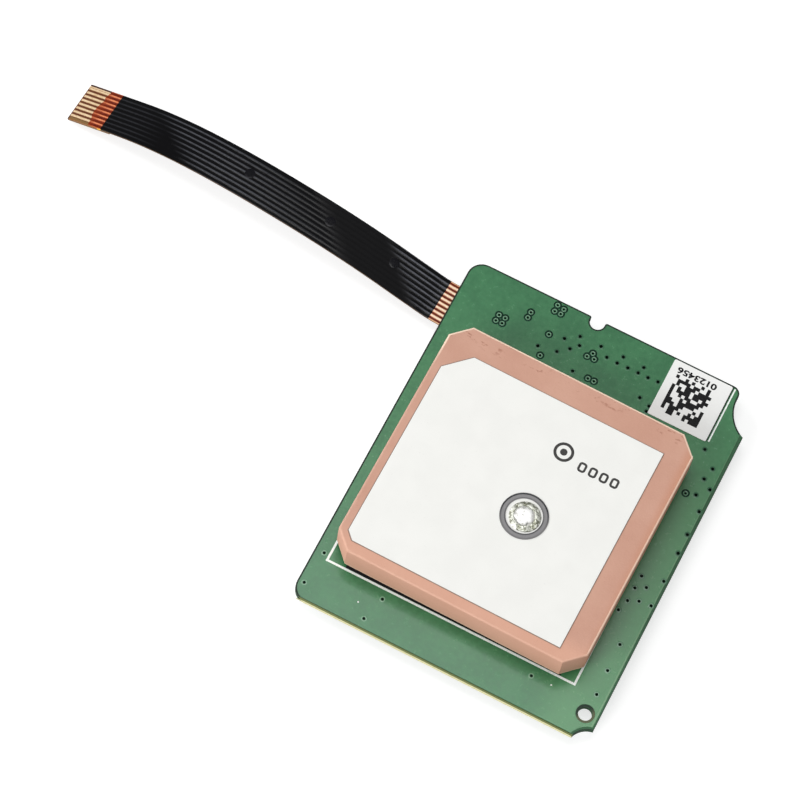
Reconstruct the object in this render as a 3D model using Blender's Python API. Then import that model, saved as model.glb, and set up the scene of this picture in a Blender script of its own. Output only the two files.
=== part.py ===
# Satellite positioning receiver module: a green circuit board that carries a square ceramic patch
# antenna on its top, a sticker beside it, a shielded receiver underneath, and a flat flex cable
# that leaves the board's left edge and comes down to the table with a bare contact tail.
#
# Frame: +Z up, the board's long side along Y, the flex leaves towards -X. The origin is at the
# middle of the board's outline, on the surface that the shield cover rests on.
#
# Run with: blender --background --python part.py

import math

import bmesh
import bpy
from mathutils import Matrix, Vector

MM = 0.001

# Seats: soldered, glued and laminated faces lie this far apart, and a lid slides on with a little more
SEAT_GAP = 0.02 * MM
SNAP_CLEARANCE = 0.06 * MM

# Circuit board
BOARD_WIDTH = 29.75 * MM
BOARD_LENGTH = 37.7 * MM
BOARD_THICKNESS = 0.6 * MM
BOARD_CORNER_RADIUS = 1.5 * MM
SCORE_DEPTH = 0.18 * MM
SCORE_HALF_ANGLE = math.radians(30)

# Screw relief near the top right corner: an arc whose centre lies outside the right edge
SIDE_RELIEF_RADIUS = 3.6 * MM
SIDE_RELIEF_OUT = 1.55 * MM
SIDE_RELIEF_DOWN = 1.05 * MM
SIDE_RELIEF_FILLET = 0.8 * MM

# Screw relief at the bottom right corner
CORNER_RELIEF_RADIUS = 1.9 * MM
CORNER_RELIEF_OUT = 0.33 * MM
CORNER_RELIEF_DOWN = 0.45 * MM

# Key notch in the top edge
NOTCH_WIDTH = 1.45 * MM
NOTCH_DEPTH = 1.05 * MM
NOTCH_FROM_LEFT = 12.92 * MM
NOTCH_FILLET = 0.18 * MM

# Locating hole near the bottom right corner
LOCATING_HOLE_RADIUS = 0.65 * MM
LOCATING_HOLE_FROM_RIGHT = 1.33 * MM
LOCATING_HOLE_FROM_BOTTOM = 2.5 * MM

# Ceramic patch antenna, stuck to the board a little askew
PATCH_SIDE = 25.0 * MM
PATCH_HEIGHT = 3.5 * MM
PATCH_CHAMFER = 1.7 * MM
PATCH_TOP_ARRIS = 0.14 * MM
PATCH_BOTTOM_ARRIS = 0.3 * MM
PATCH_LEFT_OF_MIDDLE = 0.8 * MM
PATCH_BELOW_MIDDLE = 1.81 * MM
PATCH_TURN = math.radians(-0.7)
TAPE_THICKNESS = 0.4 * MM
TAPE_INSET = 0.45 * MM
GROUND_PLATE_THICKNESS = 0.05 * MM
GROUND_PLATE_INSET = 0.6 * MM

# Fired silver electrode on the patch's top, trimmed more at the right and the top
ELECTRODE_THICKNESS = 0.05 * MM
ELECTRODE_LEFT_MARGIN = 0.87 * MM
ELECTRODE_RIGHT_MARGIN = 2.55 * MM
ELECTRODE_TOP_MARGIN = 2.72 * MM
ELECTRODE_BOTTOM_MARGIN = 1.13 * MM
ELECTRODE_TOP_LEFT_CHAMFER = 2.25 * MM
ELECTRODE_BOTTOM_LEFT_CHAMFER = 0.75 * MM

# Feed pin, soldered to the electrode and under the board
FEED_RIGHT_OF_CENTRE = 1.57 * MM
FEED_BELOW_CENTRE = 1.81 * MM
PIN_RADIUS = 0.4 * MM
PIN_HEAD_RADIUS = 0.95 * MM
PIN_HEAD_HEIGHT = 0.26 * MM
# The head's dome, as shares of its radius and height
PIN_HEAD_DOME = ((0.5, 0.9), (0.85, 0.6), (1.0, 0.25))
PIN_TAIL = 0.8 * MM
PIN_HOLE_CLEARANCE = 0.15 * MM
PIN_KEEP_OUT = 0.9 * MM
TOP_SOLDER_REACH = 0.55 * MM
TOP_SOLDER_HEIGHT = 0.17 * MM
TOP_SOLDER_ROUNDNESS = 2.4
UNDER_SOLDER_REACH = 0.7 * MM
UNDER_SOLDER_HEIGHT = 0.62 * MM
UNDER_SOLDER_ROUNDNESS = 0.7
SOLDER_STEPS = 5
DAM_CLEARANCE = 0.2 * MM
DAM_WIDTH = 0.55 * MM
DAM_THICKNESS = 0.03 * MM

# Sticker, cut to fill the strip between the board's top edge and the antenna
LABEL_WIDTH = 5.95 * MM
LABEL_TO_PATCH = 1.82 * MM
LABEL_THICKNESS = 0.08 * MM
LABEL_CORNER_RADIUS = 0.15 * MM
LABEL_FROM_RIGHT = 2.9 * MM
LABEL_FROM_TOP = 0.19 * MM

# Folded shield under the board: a soldered frame and the cover that snaps over it
SHEET = 0.2 * MM
SHIELD_WIDTH = 22.4 * MM
SHIELD_LENGTH = 24.6 * MM
SHIELD_HEIGHT = 1.8 * MM
SHIELD_CORNER_RADIUS = 0.6 * MM
SHIELD_FROM_LEFT = 15.2 * MM
SHIELD_BELOW_MIDDLE = 2.2 * MM
FRAME_FLANGE = 1.0 * MM
FRAME_FOOT_LENGTH = 1.6 * MM
FRAME_FOOT_PITCH = 3.2 * MM
FRAME_FOOT_HEIGHT = 0.25 * MM
SKIRT_HEIGHT = 1.05 * MM
SKIRT_FINGER_PITCH = 3.6 * MM
SKIRT_END_FINGER = 3.5 * MM
SKIRT_SLOT_WIDTH = 0.35 * MM
SKIRT_CORNER_RELIEF = 0.9 * MM
DIMPLE_RADIUS = 0.3 * MM
DIMPLE_DEPTH = 0.14 * MM
DIMPLE_HOLE_RADIUS = 0.42 * MM
DIMPLE_HEIGHT = 0.75 * MM
DIMPLE_TAPER = 0.6

# Flat flex cable: eight ways at half a millimetre
WAYS = 8
WAY_PITCH = 0.5 * MM
FLEX_WIDTH = 4.5 * MM
FLEX_THICKNESS = 0.15 * MM
FLEX_BASE_THICKNESS = 0.08 * MM
FLEX_FROM_TOP = 5.09 * MM
FLEX_SOLDER_GAP = 0.06 * MM
FLEX_RINGS_PER_SPAN = 4
STIFFENER_LENGTH = 4.6 * MM
STIFFENER_THICKNESS = 0.14 * MM
BARE_TAIL_LENGTH = 3.6 * MM
CONTACT_WIDTH = 0.3 * MM
CONTACT_THICKNESS = 0.03 * MM
CONTACT_FROM_TIP = 0.1 * MM
JOINT_LENGTH = 0.75 * MM
JOINT_WIDTH = 0.32 * MM
JOINT_HEIGHT = 0.2 * MM
JOINT_TO_SHIELD = 0.4 * MM

# The flex's route beyond the board: how far left of the edge, how far towards the top edge, how far
# above its height under the board, and its lean in degrees. The last three lie on one straight line.
FLEX_ROUTE = (
    (-1.5, 0.06, 0.12, 0.1),
    (-3.0, 0.19, 0.36, 0.3),
    (-5.0, 0.38, 0.68, 0.4),
    (-7.0, 0.59, 0.98, 0.4),
    (-9.5, 0.83, 1.31, 0.3),
    (-12.0, 1.05, 1.57, 0.1),
    (-14.5, 1.27, 1.74, 0.0),
    (-17.0, 1.48, 1.84, -0.2),
    (-19.5, 1.69, 1.88, -0.6),
    (-22.0, 1.89, 1.87, -1.0),
    (-24.5, 2.07, 1.80, -1.6),
    (-27.0, 2.23, 1.66, -2.4),
    (-29.5, 2.36, 1.43, -3.4),
    (-32.0, 2.45, 1.07, -4.6),
    (-33.8, 2.48, 0.72, -5.6),
    (-35.5, 2.49, 0.30, -6.3),
    (-37.8, 2.50, -0.34, -6.7),
    (-40.5, 2.51, -1.10, -6.7),
)

# Receiver parts inside the shield: width, length and height, each hung under the board
RECEIVER_SIZE = (7.0 * MM, 7.0 * MM, 0.85 * MM)
RECEIVER_PLACE = (3.4 * MM, 5.2 * MM)
FLASH_SIZE = (4.0 * MM, 3.0 * MM, 0.6 * MM)
FLASH_PLACE = (-4.6 * MM, 7.2 * MM)
REGULATOR_BODY = (1.6 * MM, 2.9 * MM, 1.05 * MM)
REGULATOR_PLACE = (-6.6 * MM, -1.2 * MM)
OSCILLATOR_SIZE = (2.5 * MM, 2.0 * MM, 0.8 * MM)
OSCILLATOR_PLACE = (6.4 * MM, -1.6 * MM)
CRYSTAL_SIZE = (3.2 * MM, 1.5 * MM, 0.75 * MM)
CRYSTAL_PLACE = (-2.6 * MM, 3.0 * MM)
FILTER_SIZE = (1.4 * MM, 1.1 * MM, 0.5 * MM)
FILTER_PLACE = (3.6 * MM, -6.4 * MM)
AMPLIFIER_SIZE = (1.5 * MM, 1.0 * MM, 0.5 * MM)
AMPLIFIER_PLACE = (0.4 * MM, -7.0 * MM)
PACKAGE_EDGE = 0.06 * MM
PACKAGE_KEY = 0.35 * MM
LID_INSET = 0.18 * MM
LID_SHARE = 0.3

# Gull wing leads of the regulator
LEAD_WIDTH = 0.4 * MM
LEAD_THICKNESS = 0.15 * MM
LEAD_REACH = 0.6 * MM
LEAD_FOOT = 0.35 * MM
LEAD_PITCH = 0.95 * MM
LEAD_BITE = 0.2 * MM

# Chip capacitors, resistors and inductors: length, width and height
CAPACITOR_SIZE = (1.0 * MM, 0.5 * MM, 0.5 * MM)
RESISTOR_SIZE = (1.0 * MM, 0.5 * MM, 0.35 * MM)
INDUCTOR_SIZE = (1.6 * MM, 0.8 * MM, 0.8 * MM)
TERMINAL_LENGTH = 0.25 * MM
TERMINAL_STEP = 0.03 * MM
# Where they sit, from the middle of the shield, and whether they stand across the board
CAPACITOR_PLACES = (
    (-1.5, 8.2, False),
    (-1.5, 6.9, False),
    (8.4, 3.9, True),
    (8.4, 6.1, True),
    (-8.6, 1.4, True),
    (-4.3, -1.2, True),
    (0.4, -5.2, False),
    (6.4, -4.2, False),
)
RESISTOR_PLACES = (
    (-5.4, 4.4, False),
    (-7.4, 4.4, False),
    (8.4, 0.9, True),
    (-2.4, -3.6, False),
    (-2.4, -5.0, False),
)
INDUCTOR_PLACES = (
    (-6.6, -4.6, False),
    (3.6, -8.6, False),
    (-1.6, -8.4, False),
)

# Heights of the stack, from the table up
SHIELD_BASE = 0.0
BOARD_UNDERSIDE = SHIELD_BASE + SHIELD_HEIGHT
BOARD_TOP = BOARD_UNDERSIDE + BOARD_THICKNESS
TAPE_BASE = BOARD_TOP + SEAT_GAP
GROUND_PLATE_BASE = TAPE_BASE + TAPE_THICKNESS + SEAT_GAP
PATCH_BASE = GROUND_PLATE_BASE + GROUND_PLATE_THICKNESS + SEAT_GAP
ELECTRODE_BASE = PATCH_BASE + PATCH_HEIGHT + SEAT_GAP
ELECTRODE_TOP = ELECTRODE_BASE + ELECTRODE_THICKNESS

# Edges of the board and the middle of what it carries
LEFT_EDGE = -BOARD_WIDTH / 2
RIGHT_EDGE = BOARD_WIDTH / 2
BOTTOM_EDGE = -BOARD_LENGTH / 2
TOP_EDGE = BOARD_LENGTH / 2
PATCH_CENTRE = Vector((-PATCH_LEFT_OF_MIDDLE, -PATCH_BELOW_MIDDLE, 0))
SHIELD_CENTRE = Vector((LEFT_EDGE + SHIELD_FROM_LEFT, -SHIELD_BELOW_MIDDLE, 0))
FEED_PLACE = (FEED_RIGHT_OF_CENTRE, -FEED_BELOW_CENTRE)
JOINTS_END = SHIELD_CENTRE.x - SHIELD_WIDTH / 2 - JOINT_TO_SHIELD
FLEX_INNER_END = JOINTS_END - JOINT_LENGTH - SEAT_GAP
FLEX_MIDDLE = TOP_EDGE - FLEX_FROM_TOP
FLEX_HEIGHT = BOARD_UNDERSIDE - FLEX_SOLDER_GAP - FLEX_THICKNESS / 2

# How finely arcs and round pieces are faceted, and the angle past which an edge stays sharp
QUARTER = math.pi / 2
ARC_STEPS = 14
CORNER_STEPS = 8
FILLET_STEPS = 4
ROUND_STEPS = 32
TURNED_STEPS = 40
STUD_STEPS = 12
SHARP_ANGLE = math.radians(35)
NEAR = 0.001 * MM


# Scene and materials
def clear_scene():
    """Remove every object, so that the part is alone in the file."""
    for old in list(bpy.data.objects):
        bpy.data.objects.remove(old, do_unlink=True)


def make_material(name, colour, roughness, metallic=0.0):
    """A Principled material with the piece's colour and finish."""
    material = bpy.data.materials.new(name)
    material.use_nodes = True
    shader = material.node_tree.nodes["Principled BSDF"]
    shader.inputs["Base Color"].default_value = (*colour, 1)
    shader.inputs["Roughness"].default_value = roughness
    shader.inputs["Metallic"].default_value = metallic
    return material


clear_scene()
SOLDER_MASK = make_material("green_solder_mask", (0.06, 0.2, 0.09), 0.35)
CERAMIC = make_material("terracotta_ceramic", (0.72, 0.4, 0.28), 0.6)
SILVER = make_material("fired_silver", (0.86, 0.86, 0.84), 0.45, 0.3)
TAPE = make_material("foam_tape", (0.05, 0.05, 0.05), 0.9)
DAM_INK = make_material("grey_ring_ink", (0.22, 0.22, 0.23), 0.6)
SOLDER = make_material("bright_solder", (0.75, 0.75, 0.74), 0.25, 1.0)
LABEL_PAPER = make_material("white_label", (0.85, 0.85, 0.85), 0.5)
TINPLATE = make_material("tinned_steel", (0.7, 0.7, 0.7), 0.3, 1.0)
MOULDED_BLACK = make_material("black_package", (0.03, 0.03, 0.03), 0.55)
PACKAGE_WHITE = make_material("white_ceramic_package", (0.8, 0.78, 0.72), 0.5)
CHIP_BROWN = make_material("capacitor_ceramic", (0.45, 0.3, 0.18), 0.5)
FILM_BLACK = make_material("black_cover_film", (0.012, 0.012, 0.014), 0.35)
STIFFENER_AMBER = make_material("amber_film", (0.55, 0.2, 0.04), 0.35)
GOLD = make_material("gold_plating", (0.85, 0.6, 0.32), 0.3, 1.0)


# Shapes that the pieces share
def add_object(name, mesh_builder, material):
    """Turn a bmesh into an object with its faces pointing outwards."""
    bmesh.ops.recalc_face_normals(mesh_builder, faces=mesh_builder.faces)
    mesh = bpy.data.meshes.new(name)
    mesh_builder.to_mesh(mesh)
    mesh_builder.free()
    if material:
        mesh.materials.append(material)
    piece = bpy.data.objects.new(name, mesh)
    bpy.context.collection.objects.link(piece)
    return piece


def arc(centre_x, centre_y, radius, start, end, steps):
    """Points along an arc in the board's plane, both ends included."""
    angles = [start + (end - start) * step / steps for step in range(steps + 1)]
    return [(centre_x + radius * math.cos(a), centre_y + radius * math.sin(a)) for a in angles]


def rounded_rectangle(width, length, radius, centre=(0, 0)):
    """A rectangle's outline with four equal round corners, anticlockwise."""
    points = []
    for turn, (side_x, side_y) in enumerate(((1, 1), (-1, 1), (-1, -1), (1, -1))):
        corner_x = centre[0] + side_x * (width / 2 - radius)
        corner_y = centre[1] + side_y * (length / 2 - radius)
        points += arc(corner_x, corner_y, radius, turn * QUARTER, (turn + 1) * QUARTER, FILLET_STEPS)
    return points


def chamfered_rectangle(left, bottom, right, top, cuts):
    """A rectangle whose corners are cut: bottom left, bottom right, top right, top left."""
    low_left, low_right, high_right, high_left = cuts
    corners = (
        (left, bottom + low_left),
        (left + low_left, bottom),
        (right - low_right, bottom),
        (right, bottom + low_right),
        (right, top - high_right),
        (right - high_right, top),
        (left + high_left, top),
        (left, top - high_left),
    )
    return [point for i, point in enumerate(corners) if point != corners[i - 1]]


def add_prism(builder, outline, low, high):
    """Extrude an outline from one height to another inside a bmesh."""
    base = builder.faces.new([builder.verts.new((x, y, low)) for x, y in outline])
    grown = bmesh.ops.extrude_face_region(builder, geom=[base])["geom"]
    raised = [item for item in grown if isinstance(item, bmesh.types.BMVert)]
    bmesh.ops.translate(builder, verts=raised, vec=(0, 0, high - low))


def make_prism(name, outline, low, high, material):
    """One extruded outline as an object."""
    builder = bmesh.new()
    add_prism(builder, outline, low, high)
    return add_object(name, builder, material)


def bevel_level_edges(piece, height, width, segments=1):
    """Bevel the closed edge of a prism that lies at one height."""
    builder = bmesh.new()
    builder.from_mesh(piece.data)
    chosen = [
        edge
        for edge in builder.edges
        if all(abs(vert.co.z - height) < NEAR for vert in edge.verts)
    ]
    bmesh.ops.bevel(builder, geom=chosen, offset=width, segments=segments, affect="EDGES")
    bmesh.ops.recalc_face_normals(builder, faces=builder.faces)
    builder.to_mesh(piece.data)
    builder.free()


def hide_cutter(cutter):
    """Mark a solid that only cuts others."""
    cutter.hide_render = True
    cutter.display_type = "WIRE"


def cut(piece, cutter):
    """Take the cutter away from the piece with a live Boolean."""
    hide_cutter(cutter)
    boolean = piece.modifiers.new(cutter.name, "BOOLEAN")
    boolean.operation = "DIFFERENCE"
    boolean.object = cutter


def fuse(piece, addition):
    """Add the other solid to the piece with a live Boolean."""
    hide_cutter(addition)
    boolean = piece.modifiers.new(addition.name, "BOOLEAN")
    boolean.operation = "UNION"
    boolean.object = addition


def round_outline(x, y, radius):
    """A circle's points, for drilling."""
    last = 2 * math.pi * (ROUND_STEPS - 1) / ROUND_STEPS
    return arc(x, y, radius, 0, last, ROUND_STEPS - 1)


def close_rings(builder, rings):
    """Join rings of equal length into one closed skin, with a face over each end."""
    builder.faces.new(rings[0])
    builder.faces.new(reversed(rings[-1]))
    for ring, following in zip(rings, rings[1:]):
        for i in range(len(ring)):
            after = (i + 1) % len(ring)
            builder.faces.new((ring[i], following[i], following[after], ring[after]))


def turn_profile(name, profile, material):
    """Spin a closed (radius, height) profile round the Z axis."""
    builder = bmesh.new()
    verts = [builder.verts.new((radius, 0, height)) for radius, height in profile]
    edges = [builder.edges.new(pair) for pair in zip(verts, verts[1:])]
    if profile[0][0] > 0:
        edges.append(builder.edges.new((verts[-1], verts[0])))
    bmesh.ops.spin(
        builder,
        geom=verts + edges,
        cent=(0, 0, 0),
        axis=(0, 0, 1),
        angle=2 * math.pi,
        steps=TURNED_STEPS,
    )
    bmesh.ops.remove_doubles(builder, verts=builder.verts, dist=NEAR)
    piece = add_object(name, builder, material)
    piece.data.shade_smooth()
    piece.data.set_sharp_from_angle(angle=SHARP_ANGLE)
    return piece


# Circuit board
def side_relief_points():
    """The corner fillet and the concave arc below it, from the top edge down to the right edge."""
    centre_x = RIGHT_EDGE + SIDE_RELIEF_OUT
    centre_y = TOP_EDGE - SIDE_RELIEF_DOWN
    fillet_y = TOP_EDGE - SIDE_RELIEF_FILLET
    reach = SIDE_RELIEF_RADIUS + SIDE_RELIEF_FILLET
    fillet_x = centre_x - math.sqrt(reach**2 - (fillet_y - centre_y) ** 2)
    tangent = math.atan2(fillet_y - centre_y, fillet_x - centre_x)
    exit_angle = math.pi + math.asin(
        math.sqrt(SIDE_RELIEF_RADIUS**2 - SIDE_RELIEF_OUT**2) / SIDE_RELIEF_RADIUS
    )
    concave = arc(centre_x, centre_y, SIDE_RELIEF_RADIUS, tangent, exit_angle, ARC_STEPS)
    fillet = arc(fillet_x, fillet_y, SIDE_RELIEF_FILLET, QUARTER, tangent - math.pi, CORNER_STEPS)
    return fillet + concave[1:]


def corner_relief_points():
    """The concave arc at the bottom right corner, from the right edge to the bottom edge."""
    centre_x = RIGHT_EDGE + CORNER_RELIEF_OUT
    centre_y = BOTTOM_EDGE - CORNER_RELIEF_DOWN
    start = math.pi - math.acos(CORNER_RELIEF_OUT / CORNER_RELIEF_RADIUS)
    end = math.pi - math.asin(CORNER_RELIEF_DOWN / CORNER_RELIEF_RADIUS)
    return arc(centre_x, centre_y, CORNER_RELIEF_RADIUS, start, end, ARC_STEPS)


def notch_points():
    """The round-bottomed notch in the top edge, from its left lip to its right lip."""
    middle = LEFT_EDGE + NOTCH_FROM_LEFT
    half = NOTCH_WIDTH / 2
    bottom_y = TOP_EDGE - NOTCH_DEPTH + half
    lip_y = TOP_EDGE - NOTCH_FILLET
    lip_out = half + NOTCH_FILLET
    left_lip = arc(middle - lip_out, lip_y, NOTCH_FILLET, QUARTER, 0, FILLET_STEPS)
    bowl = arc(middle, bottom_y, half, math.pi, 2 * math.pi, ARC_STEPS)
    right_lip = arc(middle + lip_out, lip_y, NOTCH_FILLET, math.pi, QUARTER, FILLET_STEPS)
    return left_lip + bowl + right_lip


def board_outline():
    """The whole outline, clockwise from the top left corner."""
    radius = BOARD_CORNER_RADIUS
    middle_x = LEFT_EDGE + radius
    top_left = arc(middle_x, TOP_EDGE - radius, radius, math.pi, QUARTER, CORNER_STEPS)
    bottom_left = arc(middle_x, BOTTOM_EDGE + radius, radius, -QUARTER, -math.pi, CORNER_STEPS)
    return top_left + notch_points() + side_relief_points() + corner_relief_points() + bottom_left


def make_score_cutter():
    """The two V grooves, above and below the edge along which the board was snapped off its panel."""
    builder = bmesh.new()
    opening = SCORE_DEPTH * math.tan(SCORE_HALF_ANGLE)
    reach = BOARD_WIDTH
    for surface, inward in ((BOARD_TOP, -1), (BOARD_UNDERSIDE, 1)):
        section = (
            (BOTTOM_EDGE + 2 * opening, surface - inward * SCORE_DEPTH),
            (BOTTOM_EDGE, surface + inward * SCORE_DEPTH),
            (BOTTOM_EDGE - 2 * opening, surface - inward * SCORE_DEPTH),
        )
        ends = [
            [builder.verts.new((side * reach, y, z)) for y, z in section] for side in (-1, 1)
        ]
        close_rings(builder, ends)
    return add_object("score_cutter", builder, None)


def make_board():
    """The laminate with its reliefs, notch, holes and snapped edge."""
    board = make_prism(
        "circuit_board", board_outline(), BOARD_UNDERSIDE, BOARD_TOP, SOLDER_MASK
    )
    drill = bmesh.new()
    low = BOARD_UNDERSIDE - BOARD_THICKNESS
    high = BOARD_TOP + BOARD_THICKNESS
    hole_x = RIGHT_EDGE - LOCATING_HOLE_FROM_RIGHT
    hole_y = BOTTOM_EDGE + LOCATING_HOLE_FROM_BOTTOM
    add_prism(drill, round_outline(hole_x, hole_y, LOCATING_HOLE_RADIUS), low, high)
    turned = Matrix.Rotation(PATCH_TURN, 4, "Z") @ Vector((*FEED_PLACE, 0))
    pin = PATCH_CENTRE + turned
    add_prism(drill, round_outline(pin.x, pin.y, PIN_RADIUS + PIN_HOLE_CLEARANCE), low, high)
    cut(board, add_object("board_drill", drill, None))
    cut(board, make_score_cutter())


# Patch antenna: its pieces are placed from the middle of the ceramic
def make_patch_mount():
    """The empty that holds the antenna's pieces at their place and turn."""
    mount = bpy.data.objects.new("patch_mount", None)
    mount.empty_display_size = PATCH_SIDE / 4
    mount.location = PATCH_CENTRE
    mount.rotation_euler = (0, 0, PATCH_TURN)
    bpy.context.collection.objects.link(mount)
    return mount


def drill_feed(piece, radius, low, high):
    """Cut the feed pin's hole through one layer of the antenna."""
    drill = make_prism(piece.name + "_drill", round_outline(*FEED_PLACE, radius), low, high, None)
    cut(piece, drill)
    return drill


def make_patch(mount):
    """Foam tape, ground plate, ceramic block and top electrode, from the board up."""
    hole = PIN_RADIUS + PIN_HOLE_CLEARANCE
    below = BOARD_UNDERSIDE
    above = ELECTRODE_TOP + PATCH_HEIGHT
    half = PATCH_SIDE / 2

    def centred(inset):
        edge = half - inset
        return chamfered_rectangle(-edge, -edge, edge, edge, (PATCH_CHAMFER,) * 4)

    tape = make_prism(
        "adhesive_tape", centred(TAPE_INSET), TAPE_BASE, TAPE_BASE + TAPE_THICKNESS, TAPE
    )
    plate = make_prism(
        "patch_ground_plate",
        centred(GROUND_PLATE_INSET),
        GROUND_PLATE_BASE,
        GROUND_PLATE_BASE + GROUND_PLATE_THICKNESS,
        SILVER,
    )
    ceramic = make_prism(
        "patch_ceramic", centred(0), PATCH_BASE, PATCH_BASE + PATCH_HEIGHT, CERAMIC
    )
    bevel_level_edges(ceramic, PATCH_BASE + PATCH_HEIGHT, PATCH_TOP_ARRIS, 2)
    bevel_level_edges(ceramic, PATCH_BASE, PATCH_BOTTOM_ARRIS)
    outline = chamfered_rectangle(
        -half + ELECTRODE_LEFT_MARGIN,
        -half + ELECTRODE_BOTTOM_MARGIN,
        half - ELECTRODE_RIGHT_MARGIN,
        half - ELECTRODE_TOP_MARGIN,
        (ELECTRODE_BOTTOM_LEFT_CHAMFER, 0, 0, ELECTRODE_TOP_LEFT_CHAMFER),
    )
    electrode = make_prism("patch_electrode", outline, ELECTRODE_BASE, ELECTRODE_TOP, SILVER)
    keep_out = PIN_RADIUS + PIN_KEEP_OUT
    radii = (keep_out, keep_out, hole, hole)
    for piece, radius in zip((tape, plate, ceramic, electrode), radii):
        drill_feed(piece, radius, below, above).parent = mount
        piece.parent = mount


def solder_slope(inner, outer, height, roundness):
    """A solder joint's radii and heights, from its inner wall out to its thin edge."""
    points = []
    for step in range(SOLDER_STEPS + 1):
        share = step / SOLDER_STEPS
        rise = (height - SEAT_GAP) * (1 - share**roundness)
        points.append((inner + (outer - inner) * share, rise + SEAT_GAP))
    return points


def make_feed(mount):
    """The pin with its two solder joints, and the printed ring that keeps the solder in."""
    seat = ELECTRODE_TOP + SEAT_GAP
    tail = BOARD_UNDERSIDE - PIN_TAIL
    pin = turn_profile(
        "feed_pin",
        (
            (0, seat + PIN_HEAD_HEIGHT),
            *((PIN_HEAD_RADIUS * out, seat + PIN_HEAD_HEIGHT * up) for out, up in PIN_HEAD_DOME),
            (PIN_HEAD_RADIUS, seat),
            (PIN_RADIUS, seat),
            (PIN_RADIUS, tail + PIN_RADIUS / 2),
            (PIN_RADIUS / 2, tail),
            (0, tail),
        ),
        SOLDER,
    )
    collar = PIN_HEAD_RADIUS + SEAT_GAP
    top_edge = PIN_HEAD_RADIUS + TOP_SOLDER_REACH
    crown_slope = solder_slope(collar, top_edge, TOP_SOLDER_HEIGHT, TOP_SOLDER_ROUNDNESS)
    top_solder = turn_profile(
        "feed_solder_top",
        [(collar, seat), *((r, seat + rise) for r, rise in crown_slope), (top_edge, seat)],
        SOLDER,
    )
    under = BOARD_UNDERSIDE - SEAT_GAP
    neck = PIN_RADIUS + SEAT_GAP
    under_edge = PIN_RADIUS + UNDER_SOLDER_REACH
    cone_slope = solder_slope(neck, under_edge, UNDER_SOLDER_HEIGHT, UNDER_SOLDER_ROUNDNESS)
    under_solder = turn_profile(
        "feed_solder_bottom",
        [(neck, under), *((r, under - drop) for r, drop in cone_slope), (under_edge, under)],
        SOLDER,
    )
    dam_inner = top_edge + DAM_CLEARANCE
    dam_outer = dam_inner + DAM_WIDTH
    dam_top = seat + DAM_THICKNESS
    dam = turn_profile(
        "solder_dam_ring",
        ((dam_inner, seat), (dam_inner, dam_top), (dam_outer, dam_top), (dam_outer, seat)),
        DAM_INK,
    )
    for piece in (pin, top_solder, under_solder, dam):
        piece.location = (*FEED_PLACE, 0)
        piece.parent = mount


def make_label():
    """The sticker beside the antenna, near the top right corner."""
    top = TOP_EDGE - LABEL_FROM_TOP
    bottom = PATCH_CENTRE.y + PATCH_SIDE / 2 + LABEL_TO_PATCH
    centre = (RIGHT_EDGE - LABEL_FROM_RIGHT - LABEL_WIDTH / 2, (top + bottom) / 2)
    outline = rounded_rectangle(LABEL_WIDTH, top - bottom, LABEL_CORNER_RADIUS, centre)
    base = BOARD_TOP + SEAT_GAP
    make_prism("label", outline, base, base + LABEL_THICKNESS, LABEL_PAPER)


# Folded shield
def side_places(pitch, end, inset, fewer=0):
    """Evenly pitched places along the shield's four sides, moved in from its outline, and the
    outward direction at each. None is nearer to a corner than the given end."""
    places = []
    for across, along, outward in (
        (SHIELD_WIDTH, SHIELD_LENGTH, Vector((1, 0))),
        (SHIELD_LENGTH, SHIELD_WIDTH, Vector((0, 1))),
        (SHIELD_WIDTH, SHIELD_LENGTH, Vector((-1, 0))),
        (SHIELD_LENGTH, SHIELD_WIDTH, Vector((0, -1))),
    ):
        count = int((along - 2 * end) / pitch) + 1 - fewer
        tangent = Vector((-outward.y, outward.x))
        for i in range(count):
            offset = (i - (count - 1) / 2) * pitch
            places.append((outward * (across / 2 - inset) + tangent * offset, outward))
    return places


def slot_places():
    """The slots that part the skirt's spring fingers."""
    return side_places(SKIRT_FINGER_PITCH, SKIRT_END_FINGER, 0)


def dimple_places(inset):
    """The middle of each finger between two slots."""
    return side_places(SKIRT_FINGER_PITCH, SKIRT_END_FINGER, inset, fewer=1)


def add_block(builder, centre, outward, along, through, low, high):
    """A box inside a bmesh, its long side square to the outward direction."""
    tangent = Vector((-outward.y, outward.x))
    corners = []
    for side, depth in ((-1, -1), (1, -1), (1, 1), (-1, 1)):
        point = centre + tangent * side * along / 2 + outward * depth * through / 2
        corners.append((point.x, point.y))
    add_prism(builder, corners, low, high)


def add_stud(builder, centre, outward, radius, reach, height, taper=1.0):
    """A short level cylinder or cone inside a bmesh, pointing along the outward direction."""
    turn = Vector((0, 0, 1)).rotation_difference(Vector((*outward, 0))).to_matrix().to_4x4()
    place = Matrix.Translation(Vector((centre.x, centre.y, height))) @ turn
    bmesh.ops.create_cone(
        builder,
        cap_ends=True,
        segments=STUD_STEPS,
        radius1=radius,
        radius2=radius * taper,
        depth=reach,
        matrix=place,
    )


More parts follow.
